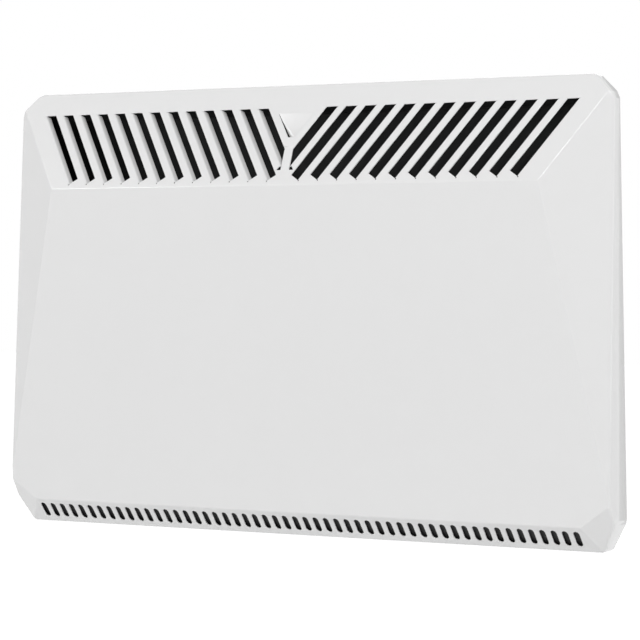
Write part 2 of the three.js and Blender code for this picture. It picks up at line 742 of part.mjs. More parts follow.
// Black sheet-metal hood: a neck in the tray that widens behind the grille, open below and in front.
function outletHood() {
  const lip = plateFront + clearance;
  const front = rimDepth + 2 * foldDepth;
  const bulk = (inset) => joined(
    block(
      [inset - hoodNeckHalf, hoodNeckHalf - inset],
      [hoodBack + inset, lip + 2 * hoodSheet],
      [hoodLow - 2 * inset, hoodNeckHigh - inset],
    ),
    block(
      [inset - hoodHalf, hoodHalf - inset],
      [lip + inset, front + inset],
      [hoodLow - 2 * inset, hoodHigh - inset],
    ),
  );
  const shell = without(bulk(0), bulk(hoodSheet));
  const room = foldedBody(coverPlanes, sheet + hoodMargin, foldRadius - sheet, 2);
  const behind = block([-hoodHalf, hoodHalf], [hoodBack, lip + 2 * hoodSheet], [hoodLow, hoodHigh]);
  return drilled(common(shell, joined(room, behind)));
}

// Fine screen behind the intake slots, as one thin sheet.
function intakeScreen() {
  const flat = new THREE.BoxGeometry(2 * screenHalf, 4 * sillHeight, screenThickness);
  flat.translate(0, 0, -sheet - screenGap - screenThickness / 2).applyMatrix4(intakeFrame);
  return common(flat, foldedBody(coverPlanes, sheet + clearance, foldRadius - sheet, 2));
}

// ---------- rear casing ----------

const bracketLow = bracketHeight - bracketReach;
const bracketHigh = bracketHeight + bracketReach;
const hookHeight = bracketHigh - hookDrop;
const footLow = bracketLow - footDrop;
const catchPivotHeight = footLow - catchDrop;
const through = (radius, x, z) =>
  rod(radius, at(x, trayBack - overrun, z), at(x, trayFloor + overrun, z));

function trayBody(inset) {
  const planes = [
    planeOf(1, 0, 0, at(trayHalf, 0, 0)),
    planeOf(-1, 0, 0, at(-trayHalf, 0, 0)),
    planeOf(0, 0, 1, at(0, 0, trayHigh)),
    planeOf(0, 0, -1, at(0, 0, trayLow)),
    planeOf(0, 1, 0, at(0, trayBack, 0)),
    planeOf(0, -1, 0, at(0, plateFront + 3 * trayRadius, 0)),
  ];
  return foldedBody(planes, inset, trayRadius - inset, 2);
}

function rearCasing() {
  const plateAhead = planeOf(0, -1, 0, at(0, plateFront + plateInset, 0));
  const plateBehind = planeOf(0, 1, 0, at(0, plateBack - plateInset, 0));
  const plate = foldedBody([...outline, plateAhead, plateBehind], plateInset, 0, 1);
  const tray = without(trayBody(0), beyond(planeOf(0, -1, 0, at(0, plateFront, 0))));
  const middle = (trayFloor + plateBack) / 2;
  const vents = row(ventCount, ventPitch).map((x) => block(
    [x - ventWidth / 2, x + ventWidth / 2],
    [middle - ventLength / 2, middle + ventLength / 2],
    [trayLow - overrun, trayLow + casingSheet + overrun],
  ));
  const hookSlot = block(
    [hookX - hookHalf - clearance, hookX + hookHalf + clearance],
    [trayBack - overrun, trayFloor + overrun],
    [hookHeight - hookLip - hookSlack, hookHeight + bracketSheet + clearance],
  );
  const window = block(
    [trayHalf - casingSheet - overrun, trayHalf + overrun],
    [controlDepth - panelHalf + windowMargin, controlDepth + panelHalf - windowMargin],
    [panelLow + windowMargin, panelHigh - windowMargin],
  );
  const below = at(glandX, controlDepth, trayLow - overrun);
  const above = at(glandX, controlDepth, trayLow + casingSheet + overrun);
  const glandHole = rod(glandRadius + clearance, below, above);
  const rivetHole = through(rivetRadius + clearance, catchX, catchPivotHeight);
  const pegHole = through(pegRadius + clearance, spacerX, spacerHeight);
  const openings = [...both(hookSlot), window, glandHole, ...both(rivetHole), ...both(pegHole)];
  return drilled(without(joined(plate, tray), trayBody(casingSheet), vents, openings));
}

function heatShield() {
  const ends = [leftBracketX + shieldGap, rightBracketX - shieldGap];
  const tall = [shieldLow, shieldHigh];
  const seat = trayFloor + clearance;
  const foot = [seat, seat + shieldSheet];
  const [left, right] = ends;
  return drilled(joined(
    block(ends, [shieldDepth, shieldDepth + shieldSheet], tall),
    block([left, left + shieldSheet], [seat, shieldDepth + shieldSheet], tall),
    block([right - shieldSheet, right], [seat, shieldDepth + shieldSheet], tall),
    block([left, left + shieldFoot], foot, tall),
    block([right - shieldFoot, right], foot, tall),
  ));
}

function partition() {
  const seat = trayFloor + clearance;
  const tall = [partitionLow, partitionHigh];
  const wall = block([partitionX, partitionX + partitionSheet], [seat, partitionFront], tall);
  const foot = block(
    [partitionX, partitionX + partitionSheet + partitionFoot],
    [seat, seat + partitionSheet],
    tall,
  );
  const holeEnd = partitionX + partitionSheet + overrun;
  const holes = leadHoles.map(([depth, z]) =>
    rod(leadHoleRadius, at(partitionX - overrun, depth, z), at(holeEnd, depth, z)));
  return drilled(without(joined(wall, foot), holes));
}

// ---------- heating element ----------

const elementAt = (x) => at(x, elementDepth, elementHeight);

// Cast core with four fins, notched so that it can grow when it heats up; it lies along local +Z.
function elementCore() {
  const length = coreRight - coreLeft;
  const fin = new THREE.BoxGeometry(2 * finReach, finThickness, length).translate(0, 0, length / 2);
  const body = joined(
    cylinder(coreBoss, 0, length),
    fin.clone().rotateZ(finAngle),
    fin.clone().rotateZ(-finAngle),
  );
  const kept = cylinder(finReach - notchDepth, -overrun, length + overrun);
  const notchPitch = length / (notchCount + 1);
  const notches = row(notchCount, notchPitch).map((along) =>
    new THREE.BoxGeometry(3 * finReach, 3 * finReach, notchWidth).translate(0, 0, length / 2 + along));
  const bore = cylinder(rodRadius + clearance, -overrun, length + overrun);
  return without(body, notches.map((notch) => without(notch, kept)), bore);
}

function heatingRod() {
  const length = coreRight - coreLeft + 2 * rodOverhang;
  const bore = pinRadius + clearance;
  const seat = pinSeat + clearance;
  return without(
    cylinder(rodRadius, 0, length),
    cylinder(bore, -overrun, seat),
    cylinder(bore, length - seat, length + overrun),
  );
}

function ceramicBush() {
  const half = bushLength / 2;
  const bore = rodRadius + clearance;
  const flange = bushRadius + bushFlange;
  return turned([
    [bore, -half],
    [bushRadius, -half],
    [bushRadius, -clearance - bushFlange],
    [flange, -clearance - bushFlange],
    [flange, -clearance],
    [bushRadius, -clearance],
    [bushRadius, half],
    [bore, half],
    [bore, -half],
  ]);
}

function endBracket(x, away) {
  const seat = trayFloor + clearance;
  const tall = [elementHeight - endBracketHalf, elementHeight + endBracketHalf];
  const outer = x + away * endBracketSheet;
  const holeHalf = endBracketSheet + overrun;
  return drilled(without(
    joined(
      block(span(x, outer), [seat, endBracketFront], tall),
      block(span(x, outer + away * footLength), [seat, seat + endBracketSheet], tall),
    ),
    rod(bushRadius + clearance, elementAt(x - holeHalf), elementAt(x + holeHalf)),
  ));
}

function elementPieces() {
  place("element_core", elementCore(), castAluminium, elementAt(coreLeft), rightwards);
  place("heating_rod", heatingRod(), stainless, elementAt(coreLeft - rodOverhang), rightwards);
  for (const [side, x, rodEnd, away] of [
    ["left", leftBracketX, coreLeft - rodOverhang, leftwards],
    ["right", rightBracketX, coreRight + rodOverhang, rightwards],
  ]) {
    const pin = cylinder(pinRadius, -pinSeat, pinLength, 10);
    place(`terminal_pin_${side}`, pin, zincSteel, elementAt(rodEnd), away);
    place(`ceramic_bush_${side}`, ceramicBush(), ceramic, elementAt(x), away);
    place(`end_bracket_${side}`, endBracket(x, away.x), galvanised);
  }
}

// ---------- overheat cut-out ----------

function cutoutBracket() {
  const end = partitionX - clearance;
  const deep = [elementDepth - cutoutPlateHalf, elementDepth + cutoutPlateHalf];
  return drilled(joined(
    block([cutoutX - cutoutPlateEnd, end], deep, [cutoutHeight, cutoutHeight + cutoutPlate]),
    block([end - cutoutPlate, end], deep, [cutoutHeight, cutoutHeight + cutoutPlate + cutoutFlange]),
  ));
}

function overheatCutout() {
  const post = new THREE.BoxGeometry(cutoutPostWidth, cutoutPostDepth, 2 * cutoutPost);
  post.translate(cutoutPostOffset, 0, cutoutBody);
  return joined(cylinder(cutoutRadius, 0, cutoutBody), both(post));
}

const cutoutTop = cutoutHeight + cutoutPlate + clearance + cutoutBody + cutoutPost;

// ---------- controls ----------

const thermostatRight = trayHalf - casingSheet - clearance;
const thermostatLeft = thermostatRight - thermostatLength;
const switchRear = panelInner - switchLength;
const bezelSeat = panelOuter + clearance;
const controlAt = (x, z) => at(x, controlDepth, z);
const acrossPanel = (radius, z) =>
  rod(radius, controlAt(panelInner - overrun, z), controlAt(panelOuter + overrun, z));
const aroundControl = (x, halfDepth, z, halfHeight) =>
  block(x, [controlDepth - halfDepth, controlDepth + halfDepth], [z - halfHeight, z + halfHeight]);

function controlPanel() {
  const plate = block(
    [panelInner, panelOuter],
    [controlDepth - panelHalf, controlDepth + panelHalf],
    [panelLow, panelHigh],
  );
  return drilled(without(
    plate,
    acrossPanel(neckRadius + clearance, knobHeight),
    acrossPanel(lensRadius, lensHeight),
    aroundControl(
      [panelInner - overrun, panelOuter + overrun],
      switchHalfDepth + clearance,
      switchHeight,
      switchHalfHeight + clearance,
    ),
  ));
}

function thermostatBody() {
  const body = aroundControl([thermostatLeft, thermostatRight], thermostatHalf, knobHeight, thermostatHalf);
  const neckEnd = panelOuter + neckReach;
  const neckStart = thermostatRight - overlap;
  const neck = rod(neckRadius, controlAt(neckStart, knobHeight), controlAt(neckEnd, knobHeight));
  const shaftHole = rod(
    shaftRadius + clearance,
    controlAt(neckEnd - shaftSeat - clearance, knobHeight),
    controlAt(neckEnd + overrun, knobHeight),
  );
  const terminalReach = [thermostatLeft - terminalLength, thermostatLeft + overlap];
  const terminals = [-terminalStep, terminalStep].map((step) =>
    aroundControl(terminalReach, terminalHalf, knobHeight + step, 2 * terminalHalf));
  return without(joined(body, neck, terminals), shaftHole);
}

const knobBack = panelOuter + knobGap;
const shaftStart = panelOuter + neckReach - shaftSeat;

function thermostatShaft() {
  return cylinder(shaftRadius, 0, knobBack + knobLength - knobFace - clearance - shaftStart);
}

// Fluted knob with a pointer groove; its back is hollowed for the neck.
function thermostatKnob() {
  const edge = 1;
  const body = turned([
    [0, 0],
    [knobRadius, 0],
    [knobRadius, knobLength - edge],
    [knobRadius - edge, knobLength],
    [0, knobLength],
  ], 24);
  const flutes = Array.from({ length: knobFlutes }, (_, k) => {
    const turn = ((k + 0.5) * 2 * Math.PI) / knobFlutes;
    const flute = new THREE.CylinderGeometry(knobMark, knobMark, 3 * knobLength, 6).rotateX(Math.PI / 2);
    return flute.translate(knobRadius * Math.cos(turn), knobRadius * Math.sin(turn), 0);
  });
  const mark = new THREE.BoxGeometry(knobRadius / 2, knobMark, knobMark);
  mark.translate(-0.65 * knobRadius, 0, knobLength);
  const recess = cylinder(neckRadius + knobGap, -overrun, neckReach + knobGap);
  const bore = cylinder(shaftRadius + clearance, -overrun, knobLength - knobFace);
  return without(body, flutes, mark, recess, bore);
}

const rockerPivotX = bezelSeat;

function switchBody() {
  const body = aroundControl(
    [switchRear, bezelSeat + bezelLip / 2],
    switchHalfDepth,
    switchHeight,
    switchHalfHeight,
  );
  const bezel = aroundControl(
    [bezelSeat, bezelSeat + bezelLip],
    switchHalfDepth + bezelLip,
    switchHeight,
    switchHalfHeight + bezelLip,
  );
  const terminals = [-terminalOffset, terminalOffset].map((step) =>
    aroundControl(
      [switchRear - terminalLength, switchRear + overlap],
      terminalHalf,
      switchHeight + step,
      terminalHalf,
    ));
  const pocketRadius = rockerRadius + clearance;
  const pocketHalf = switchHalfDepth - switchWall;
  const pocket = rod(
    pocketRadius,
    at(rockerPivotX, controlDepth - pocketHalf, switchHeight),
    at(rockerPivotX, controlDepth + pocketHalf, switchHeight),
    24,
  );
  const mouthEnd = rockerPivotX + bezelLip + overrun;
  const mouth = aroundControl([rockerPivotX, mouthEnd], pocketHalf, switchHeight, pocketRadius);
  return without(joined(body, bezel, terminals), pocket, mouth);
}

// Rocker about local Z, which lies along the hinge; it faces local +X and is tilted at rest.
function switchRocker() {
  const end = Math.acos(rockerRise / rockerRadius);
  const outline = new THREE.Shape();
  outline.moveTo(rockerDip, 0);
  outline.absarc(0, 0, rockerRadius, end, 2 * Math.PI - end, false);
  const length = 2 * (switchHalfDepth - switchWall - clearance);
  return extruded(outline, length, 6).translate(0, 0, -length / 2).rotateZ(rockerTilt);
}

function indicatorLens() {
  const barrel = lensRadius - clearance;
  const lip = lensRadius + lensLip;
  return turned([
    [0, clearance - lensLength],
    [barrel, clearance - lensLength],
    [barrel, clearance],
    [lip, clearance],
    [lip, clearance + 0.6 * lensLip],
    [0.6 * lip, clearance + 1.4 * lensLip],
    [0, clearance + 1.7 * lensLip],
  ]);
}

function controlPieces() {
  place("control_panel", controlPanel(), whitePlastic);
  place("thermostat_body", thermostatBody(), blackPlastic);
  place("thermostat_shaft", thermostatShaft(), zincSteel, controlAt(shaftStart, knobHeight), rightwards);
  place("thermostat_knob", thermostatKnob(), whitePlastic, controlAt(knobBack, knobHeight), rightwards);
  place("switch_body", switchBody(), blackPlastic);
  const pivot = controlAt(rockerPivotX, switchHeight);
  place("switch_rocker", switchRocker(), whitePlastic, pivot, forwards);
  place("indicator_lens", indicatorLens(), amberLens, controlAt(panelOuter, lensHeight), rightwards);
}

// ---------- mains entry and wiring ----------

function cordGland() {
  return turned([
    [glandBore, -glandBelow],
    [glandCollar, -glandBelow],
    [glandCollar, -glandBelow / 3],
    [glandFlange, -glandBelow / 3],
    [glandFlange, 0],
    [glandRadius, 0],
    [glandRadius, glandAbove],
    [glandBore, glandAbove],
    [glandBore, -glandBelow],
  ]);
}

function glandNut() {
  const bore = cylinder(glandRadius + clearance, -overrun, nutHeight + overrun);
  return without(cylinder(nutRadius, 0, nutHeight, 6), bore);
}

const poles = row(3, polePitch).map((x) => blockX + x);

function terminalBlock() {
  const body = block(
    [blockX - blockHalf, blockX + blockHalf],
    [trayFloor + clearance, blockDepth],
    [blockLow, blockHigh],
  );
  const radius = wireRadius + clearance;
  const entries = poles.flatMap((x) => [blockLow, blockHigh].map((z) =>
    rod(radius, at(x, poleDepth, z - poleSeat), at(x, poleDepth, z + poleSeat), 6)));
  const clamps = poles.flatMap((x) => [blockLow + clampInset, blockHigh - clampInset].map((z) =>
    rod(1.5 * radius, at(x, blockDepth - clampDepth, z), at(x, blockDepth + overrun, z), 6)));
  return drilled(without(body, entries, clamps));
}

// A wire along a smooth curve through points given as x, depth and height.
function wire(points, steps = wireSteps) {
  const curve = new THREE.CatmullRomCurve3(points.map(([x, depth, z]) => at(x, depth, z)));
  const ring = Array.from({ length: wireSides }, (_, k) => {
    const turn = (2 * Math.PI * k) / wireSides;
    return new THREE.Vector2(wireRadius * Math.cos(turn), wireRadius * Math.sin(turn));
  });
  return new THREE.ExtrudeGeometry(new THREE.Shape(ring), { steps, bevelEnabled: false, extrudePath: curve });
}

function wirePieces() {
  const beyondWall = ([x, depth, z]) => [partitionX + x, depth, z];
  const beyondCore = ([x, depth, z]) => [coreLeft + x, depth, z];
  const [livePole, neutralPole, earthPole] = poles;
  const poleEnd = blockHigh - poleSeat + overlap;
  const switchEnd = switchRear - terminalLength - clearance;
  const thermostatEnd = thermostatLeft - terminalLength - clearance;
  const cutoutEnd = cutoutTop + clearance;
  const pinRight = coreRight + rodOverhang + pinLength / 2;
  const pinLeft = coreLeft - rodOverhang - pinLength - clearance;
  const [upperHole, lowerHole] = leadHoles;
  place("live_wire", wire([
    [livePole, poleDepth, poleEnd],
    [livePole, poleDepth, blockHigh + poleRise],
    ...liveBends.map(beyondWall),
    [switchEnd - leadRun, controlDepth, switchHeight - terminalOffset],
    [switchEnd, controlDepth, switchHeight - terminalOffset],
  ]), blackPlastic);
  place("switched_wire", wire([
    [switchEnd, controlDepth, switchHeight + terminalOffset],
    [switchEnd - leadRun, controlDepth, switchHeight + terminalOffset],
    ...switchedBends.map(beyondWall),
    [thermostatEnd, controlDepth, knobHeight - terminalStep],
  ]), blackPlastic);
  place("cutout_lead", wire([
    [thermostatEnd, controlDepth, knobHeight + terminalStep],
    beyondWall(cutoutBend),
    [partitionX + partitionSheet / 2, ...upperHole],
    ...cutoutBends.map(beyondWall),
    [cutoutX + cutoutPostOffset, elementDepth, cutoutEnd + cutoutRise],
    [cutoutX + cutoutPostOffset, elementDepth, cutoutEnd],
  ]), blackPlastic);
  place("element_lead", wire([
    [cutoutX - cutoutPostOffset, elementDepth, cutoutEnd],
    [cutoutX - cutoutPostOffset, elementDepth, cutoutEnd + leadRun],
    ...elementBends.map(beyondWall),
    [pinRight, elementDepth + leadRun, elementHeight],
    [pinRight, elementDepth + pinRadius + clearance, elementHeight],
  ]), blackPlastic);
  place("neutral_wire", wire([
    [neutralPole, poleDepth, poleEnd],
    [neutralPole, poleDepth, blockHigh + neutralRise],
    ...neutralBends.map(beyondWall),
    [partitionX + partitionSheet / 2, ...lowerHole],
    ...neutralRun.map(beyondWall),
    ...neutralEnd.map(beyondCore),
    [coreLeft - neutralReach, elementDepth, elementHeight],
    [pinLeft, elementDepth, elementHeight],
  ], 4 * wireSteps), whitePlastic);
  place("earth_wire", wire([
    [earthPole, poleDepth, poleEnd],
    [earthPole, poleDepth, blockHigh + poleRise],
    ...earthBends.map(beyondWall),
    [earthX, trayFloor + 2 * clearance + screwHeadHeight, earthHeight],
  ]), whitePlastic);
}

function entryPieces() {
  place("cord_gland", cordGland(), blackPlastic, at(glandX, controlDepth, trayLow - clearance), upwards);
  const nutSeat = trayLow + casingSheet + clearance;
  place("gland_nut", glandNut(), blackPlastic, at(glandX, controlDepth, nutSeat), upwards);
  place("terminal_block", terminalBlock(), whitePlastic);
}

// ---------- wall bracket and what locks the heater on it ----------

const footSeat = trayBack - clearance;

function wallBracket() {
  const flat = [0, bracketSheet];
  const past = [-overrun, bracketSheet + overrun];
  const plate = block([-bracketHalf, bracketHalf], flat, [bracketLow, bracketHigh]);
  const inner = bracketHalf - bracketStrip;
  const windows = [
    block([-inner, inner], past, [bracketLow + bracketStrip, bracketHeight - bracketStrip / 2]),
    block([-inner, inner], past, [bracketHeight + bracketStrip / 2, bracketHigh - bracketStrip]),
  ];
  const holeX = bracketHalf - bracketStrip / 2;
  const holes = [bracketLow + bracketStrip / 2, bracketHigh - bracketStrip / 2].map((z) =>
    rod(bracketHole, at(holeX, past[0], z), at(holeX, past[1], z)));
  const wide = [hookX - hookHalf, hookX + hookHalf];
  const hook = joined(
    block(wide, [0, hookReach], [hookHeight, hookHeight + bracketSheet]),
    block(wide, [hookReach - bracketSheet, hookReach], [hookHeight, hookHeight + bracketSheet + hookLip]),
  );
  const armLow = bracketLow + footRise;
  const foot = joined(
    block(wide, [0, footSeat], [armLow, armLow + bracketSheet]),
    block(wide, [footSeat - bracketSheet, footSeat], [footLow, armLow + bracketSheet]),
  );
  return without(joined(plate, both(hook), both(foot)), windows, holes.flatMap(both));
}

const catchBack = footSeat - bracketSheet - clearance - catchThickness;

// Turning catch; its pivot is at the local origin and its tip points up.
function lockCatch() {
  const lean = Math.asin((catchHalf - catchTip) / (catchReach - catchTip));
  const outline = new THREE.Shape();
  outline.absarc(0, 0, catchHalf, Math.PI - lean, 2 * Math.PI + lean, false);
  outline.absarc(0, catchReach - catchTip, catchTip, lean, Math.PI - lean, false);
  const hole = new THREE.Path();
  hole.absarc(0, 0, rivetRadius + clearance, 0, 2 * Math.PI, true);
  outline.holes.push(hole);
  return extruded(outline, catchThickness, 6);
}

// Rivet from behind the catch, with a shoulder that keeps the catch clear of the tray.
function catchRivet() {
  const catchFront = 2 * clearance + catchThickness;
  const shoulderEnd = footSeat - catchBack + clearance;
  const inside = shoulderEnd + casingSheet + 2 * clearance;
  return turned([
    [0, -rivetHeadHeight],
    [rivetHead, -rivetHeadHeight],
    [rivetHead, 0],
    [rivetRadius, 0],
    [rivetRadius, catchFront],
    [rivetShoulder, catchFront],
    [rivetShoulder, shoulderEnd],
    [rivetRadius, shoulderEnd],
    [rivetRadius, inside],
    [rivetHead, inside],
    [rivetHead, inside + rivetHeadHeight],
    [0, inside + rivetHeadHeight],
  ], 8);
}

function wallSpacer() {
  return turned([
    [0, 0],
    [spacerRadius, 0],
    [spacerRadius, footSeat],
    [pegRadius, footSeat],
    [pegRadius, footSeat + pegLength],
    [0, footSeat + pegLength],
  ]);
}

function wallPieces() {
  place("wall_bracket", wallBracket(), galvanised);
  for (const [side, sign] of [["left", -1], ["right", 1]]) {
    const pivot = at(sign * catchX, catchBack, catchPivotHeight);
    place(`lock_catch_${side}`, lockCatch(), galvanised, pivot, forwards);
    const rivetSeat = at(sign * catchX, catchBack - clearance, catchPivotHeight);
    place(`catch_rivet_${side}`, catchRivet(), zincSteel, rivetSeat, forwards);
    place(`wall_spacer_${side}`, wallSpacer(), greyRubber, at(sign * spacerX, 0, spacerHeight), forwards);
  }
}

// ---------- the whole heater ----------

place("front_cover", frontCover(), whitePaint);
place("outlet_hood", outletHood(), blackPaint);
place("intake_screen", intakeScreen(), blackPaint);
place("rear_casing", rearCasing(), galvanised);
place("heat_shield", heatShield(), galvanised);
place("partition", partition(), galvanised);
elementPieces();
place("cutout_bracket", cutoutBracket(), galvanised);
const cutoutSeat = cutoutHeight + cutoutPlate + clearance;
place("overheat_cutout", overheatCutout(), blackPlastic, at(cutoutX, elementDepth, cutoutSeat), upwards);
controlPieces();
entryPieces();
wirePieces();
wallPieces();
screwPieces();

export default heater;
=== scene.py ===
import json
import math

import bmesh
import bpy
from mathutils import Matrix, Quaternion, Vector

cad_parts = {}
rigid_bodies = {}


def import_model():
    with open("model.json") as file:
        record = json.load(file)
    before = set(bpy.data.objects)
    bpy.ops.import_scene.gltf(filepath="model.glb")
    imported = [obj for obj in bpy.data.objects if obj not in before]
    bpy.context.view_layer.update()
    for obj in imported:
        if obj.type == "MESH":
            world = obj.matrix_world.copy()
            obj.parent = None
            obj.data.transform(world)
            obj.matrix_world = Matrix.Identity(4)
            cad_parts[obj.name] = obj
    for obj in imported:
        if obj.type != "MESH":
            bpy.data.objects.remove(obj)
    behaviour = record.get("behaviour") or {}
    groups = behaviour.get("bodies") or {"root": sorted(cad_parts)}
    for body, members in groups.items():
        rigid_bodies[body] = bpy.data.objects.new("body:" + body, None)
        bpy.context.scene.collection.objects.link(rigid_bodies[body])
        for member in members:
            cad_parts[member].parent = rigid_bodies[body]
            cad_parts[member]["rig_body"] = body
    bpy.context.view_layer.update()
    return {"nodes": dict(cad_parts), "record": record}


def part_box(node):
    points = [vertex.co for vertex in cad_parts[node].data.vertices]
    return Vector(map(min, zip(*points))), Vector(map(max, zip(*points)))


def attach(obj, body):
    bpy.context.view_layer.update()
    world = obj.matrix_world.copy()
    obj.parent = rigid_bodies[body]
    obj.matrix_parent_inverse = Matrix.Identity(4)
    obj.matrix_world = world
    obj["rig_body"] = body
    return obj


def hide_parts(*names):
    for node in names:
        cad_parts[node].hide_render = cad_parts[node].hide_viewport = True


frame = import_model()
nodes = frame["nodes"]
scene = bpy.context.scene
scene.view_settings.view_transform = "Standard"
print("frame loaded:", len(nodes), "nodes")

mm = 0.001

camera = {
    "place": (1.33256, -2.24904, 0.08287),
    "aim": (0.03097, -0.1, -0.0161),
    "roll": -0.677,  # degrees
    "lens": 156.2,
    "sensor": 36.0,
    "farEnd": 40.0,
}


def aimed(place, aim, roll=0.0):
    turn = (Vector(aim) - Vector(place)).to_track_quat("-Z", "Y")
    turn = turn @ Quaternion((0, 0, 1), math.radians(roll))
    return Matrix.Translation(Vector(place)) @ turn.to_matrix().to_4x4()


def makeCamera():
    data = bpy.data.cameras.new("photoCamera")
    data.lens = camera["lens"]
    data.sensor_width = camera["sensor"]
    data.clip_end = camera["farEnd"]
    seen = bpy.data.objects.new("photoCamera", data)
    seen.matrix_world = aimed(camera["place"], camera["aim"], camera["roll"])
    scene.collection.objects.link(seen)
    scene.camera = seen


studio = {
    "sky": [(0.0, 0.475), (0.5, 0.485), (1.0, 0.505)],  # from straight below to straight above
    "backdrop": 1.0,
    "lamps": [  # name, place, width and height in metres, watts
        ("keyLamp", (2.2, -1.6, 1.4), 0.5, 0.5, 23.5),
        ("fillLamp", (-1.8, -1.8, 1.0), 0.8, 0.8, 14.0),
        ("creaseLamp", (0.27, -2.3, 1.29), 0.2, 0.2, 8.5),  # mirrored by the upper right fold
        ("sideLamp", (2.3, 1.0, 0.2), 0.8, 0.8, 6.5),
        ("backLamp", (-1.3, 2.3, 0.3), 1.4, 1.4, 8.0),
    ],
}


def makeLamps():
    for name, place, wide, high, power in studio["lamps"]:
        data = bpy.data.lights.new(name, "AREA")
        data.shape = "RECTANGLE"
        data.size = wide
        data.size_y = high
        data.energy = power
        lamp = bpy.data.objects.new(name, data)
        lamp.matrix_world = aimed(place, (0, -0.1, 0))
        scene.collection.objects.link(lamp)


# 1 where the camera, a mirror or a clear piece looks, 0 for the light that falls on the object
def shownRays(tree):
    path = tree.nodes.new("ShaderNodeLightPath")
    total = path.outputs["Is Camera Ray"]
    for name in ("Is Glossy Ray", "Is Transmission Ray"):
        larger = tree.nodes.new("ShaderNodeMath")
        larger.operation = "MAXIMUM"
        tree.links.new(total, larger.inputs[0])
        tree.links.new(path.outputs[name], larger.inputs[1])
        total = larger.outputs["Value"]
    return total


def makeWorld():
    world = bpy.data.worlds.new("studioWorld")
    scene.world = world
    world.use_nodes = True
    tree = world.node_tree
    tree.nodes.clear()
    coords = tree.nodes.new("ShaderNodeTexCoord")
    split = tree.nodes.new("ShaderNodeSeparateXYZ")
    tree.links.new(coords.outputs["Generated"], split.inputs["Vector"])
    height = tree.nodes.new("ShaderNodeMapRange")
    height.inputs["From Min"].default_value = -1.0
    height.inputs["From Max"].default_value = 1.0
    tree.links.new(split.outputs["Z"], height.inputs["Value"])
    ramp = tree.nodes.new("ShaderNodeValToRGB").color_ramp
    while len(ramp.elements) < len(studio["sky"]):
        ramp.elements.new(0.5)
    for element, (place, level) in zip(ramp.elements, studio["sky"]):
        element.position = place
        element.color = (level, level, level, 1)
    grade = tree.nodes["Color Ramp"]
    tree.links.new(height.outputs["Result"], grade.inputs["Fac"])
    light = tree.nodes.new("ShaderNodeBackground")
    tree.links.new(grade.outputs["Color"], light.inputs["Color"])
    shown = tree.nodes.new("ShaderNodeBackground")
    shown.inputs["Color"].default_value = (1, 1, 1, 1)
    shown.inputs["Strength"].default_value = studio["backdrop"]
    mix = tree.nodes.new("ShaderNodeMixShader")
    tree.links.new(shownRays(tree), mix.inputs["Fac"])
    tree.links.new(light.outputs["Background"], mix.inputs[1])
    tree.links.new(shown.outputs["Background"], mix.inputs[2])
    out = tree.nodes.new("ShaderNodeOutputWorld")
    tree.links.new(mix.outputs["Shader"], out.inputs["Surface"])


floorPlan = {"height": -0.62, "half": 9.0, "color": (0.86, 0.86, 0.86), "glow": 0.62}


def makeFloor():
    bm = bmesh.new()
    bmesh.ops.create_grid(bm, x_segments=1, y_segments=1, size=floorPlan["half"])
    bmesh.ops.translate(bm, verts=bm.verts, vec=(0, 0, floorPlan["height"]))
    mesh = bpy.data.meshes.new("floor")
    bm.to_mesh(mesh)
    bm.free()
    floor = bpy.data.objects.new("floor", mesh)
    scene.collection.objects.link(floor)
    material = bpy.data.materials.new("floorWhite")
    material.use_nodes = True
    tree = material.node_tree
    tree.nodes.clear()
    matt = tree.nodes.new("ShaderNodeBsdfDiffuse")
    matt.inputs["Color"].default_value = (*floorPlan["color"], 1)
    glow = tree.nodes.new("ShaderNodeEmission")
    glow.inputs["Strength"].default_value = floorPlan["glow"]
    both = tree.nodes.new("ShaderNodeAddShader")
    tree.links.new(matt.outputs["BSDF"], both.inputs[0])
    tree.links.new(glow.outputs["Emission"], both.inputs[1])
    mix = tree.nodes.new("ShaderNodeMixShader")
    tree.links.new(shownRays(tree), mix.inputs["Fac"])
    tree.links.new(matt.outputs["BSDF"], mix.inputs[1])
    tree.links.new(both.outputs["Shader"], mix.inputs[2])
    out = tree.nodes.new("ShaderNodeOutputMaterial")
    tree.links.new(mix.outputs["Shader"], out.inputs["Surface"])
    mesh.materials.append(material)


makeCamera()
makeLamps()
makeWorld()
makeFloor()
print("camera, lamps and floor made")


def newFinish(name, color, roughness, metallic=0.0):
    material = bpy.data.materials.new(name)
    material.use_nodes = True
    tree = material.node_tree
    shader = tree.nodes["Principled BSDF"]
    shader.inputs["Base Color"].default_value = (*color, 1)
    shader.inputs["Roughness"].default_value = roughness
    shader.inputs["Metallic"].default_value = metallic
    place = tree.nodes.new("ShaderNodeTexCoord").outputs["Object"]
    return material, tree, shader, place


def stretched(tree, place, scale, turn=(0, 0, 0)):
    mapping = tree.nodes.new("ShaderNodeMapping")
    mapping.inputs["Scale"].default_value = scale
    mapping.inputs["Rotation"].default_value = turn
    tree.links.new(place, mapping.inputs["Vector"])
    return mapping.outputs["Vector"]


def noiseOn(tree, place, scale, detail=2.0):
    node = tree.nodes.new("ShaderNodeTexNoise")
    node.inputs["Scale"].default_value = scale
    node.inputs["Detail"].default_value = detail
    tree.links.new(place, node.inputs["Vector"])
    return node.outputs["Fac"]


def ranged(tree, value, low, high, start=0.3, end=0.7):
    node = tree.nodes.new("ShaderNodeMapRange")
    limits = {"From Min": start, "From Max": end, "To Min": low, "To Max": high}
    for socket, number in limits.items():
        node.inputs[socket].default_value = number
    tree.links.new(value, node.inputs["Value"])
    return node.outputs["Result"]


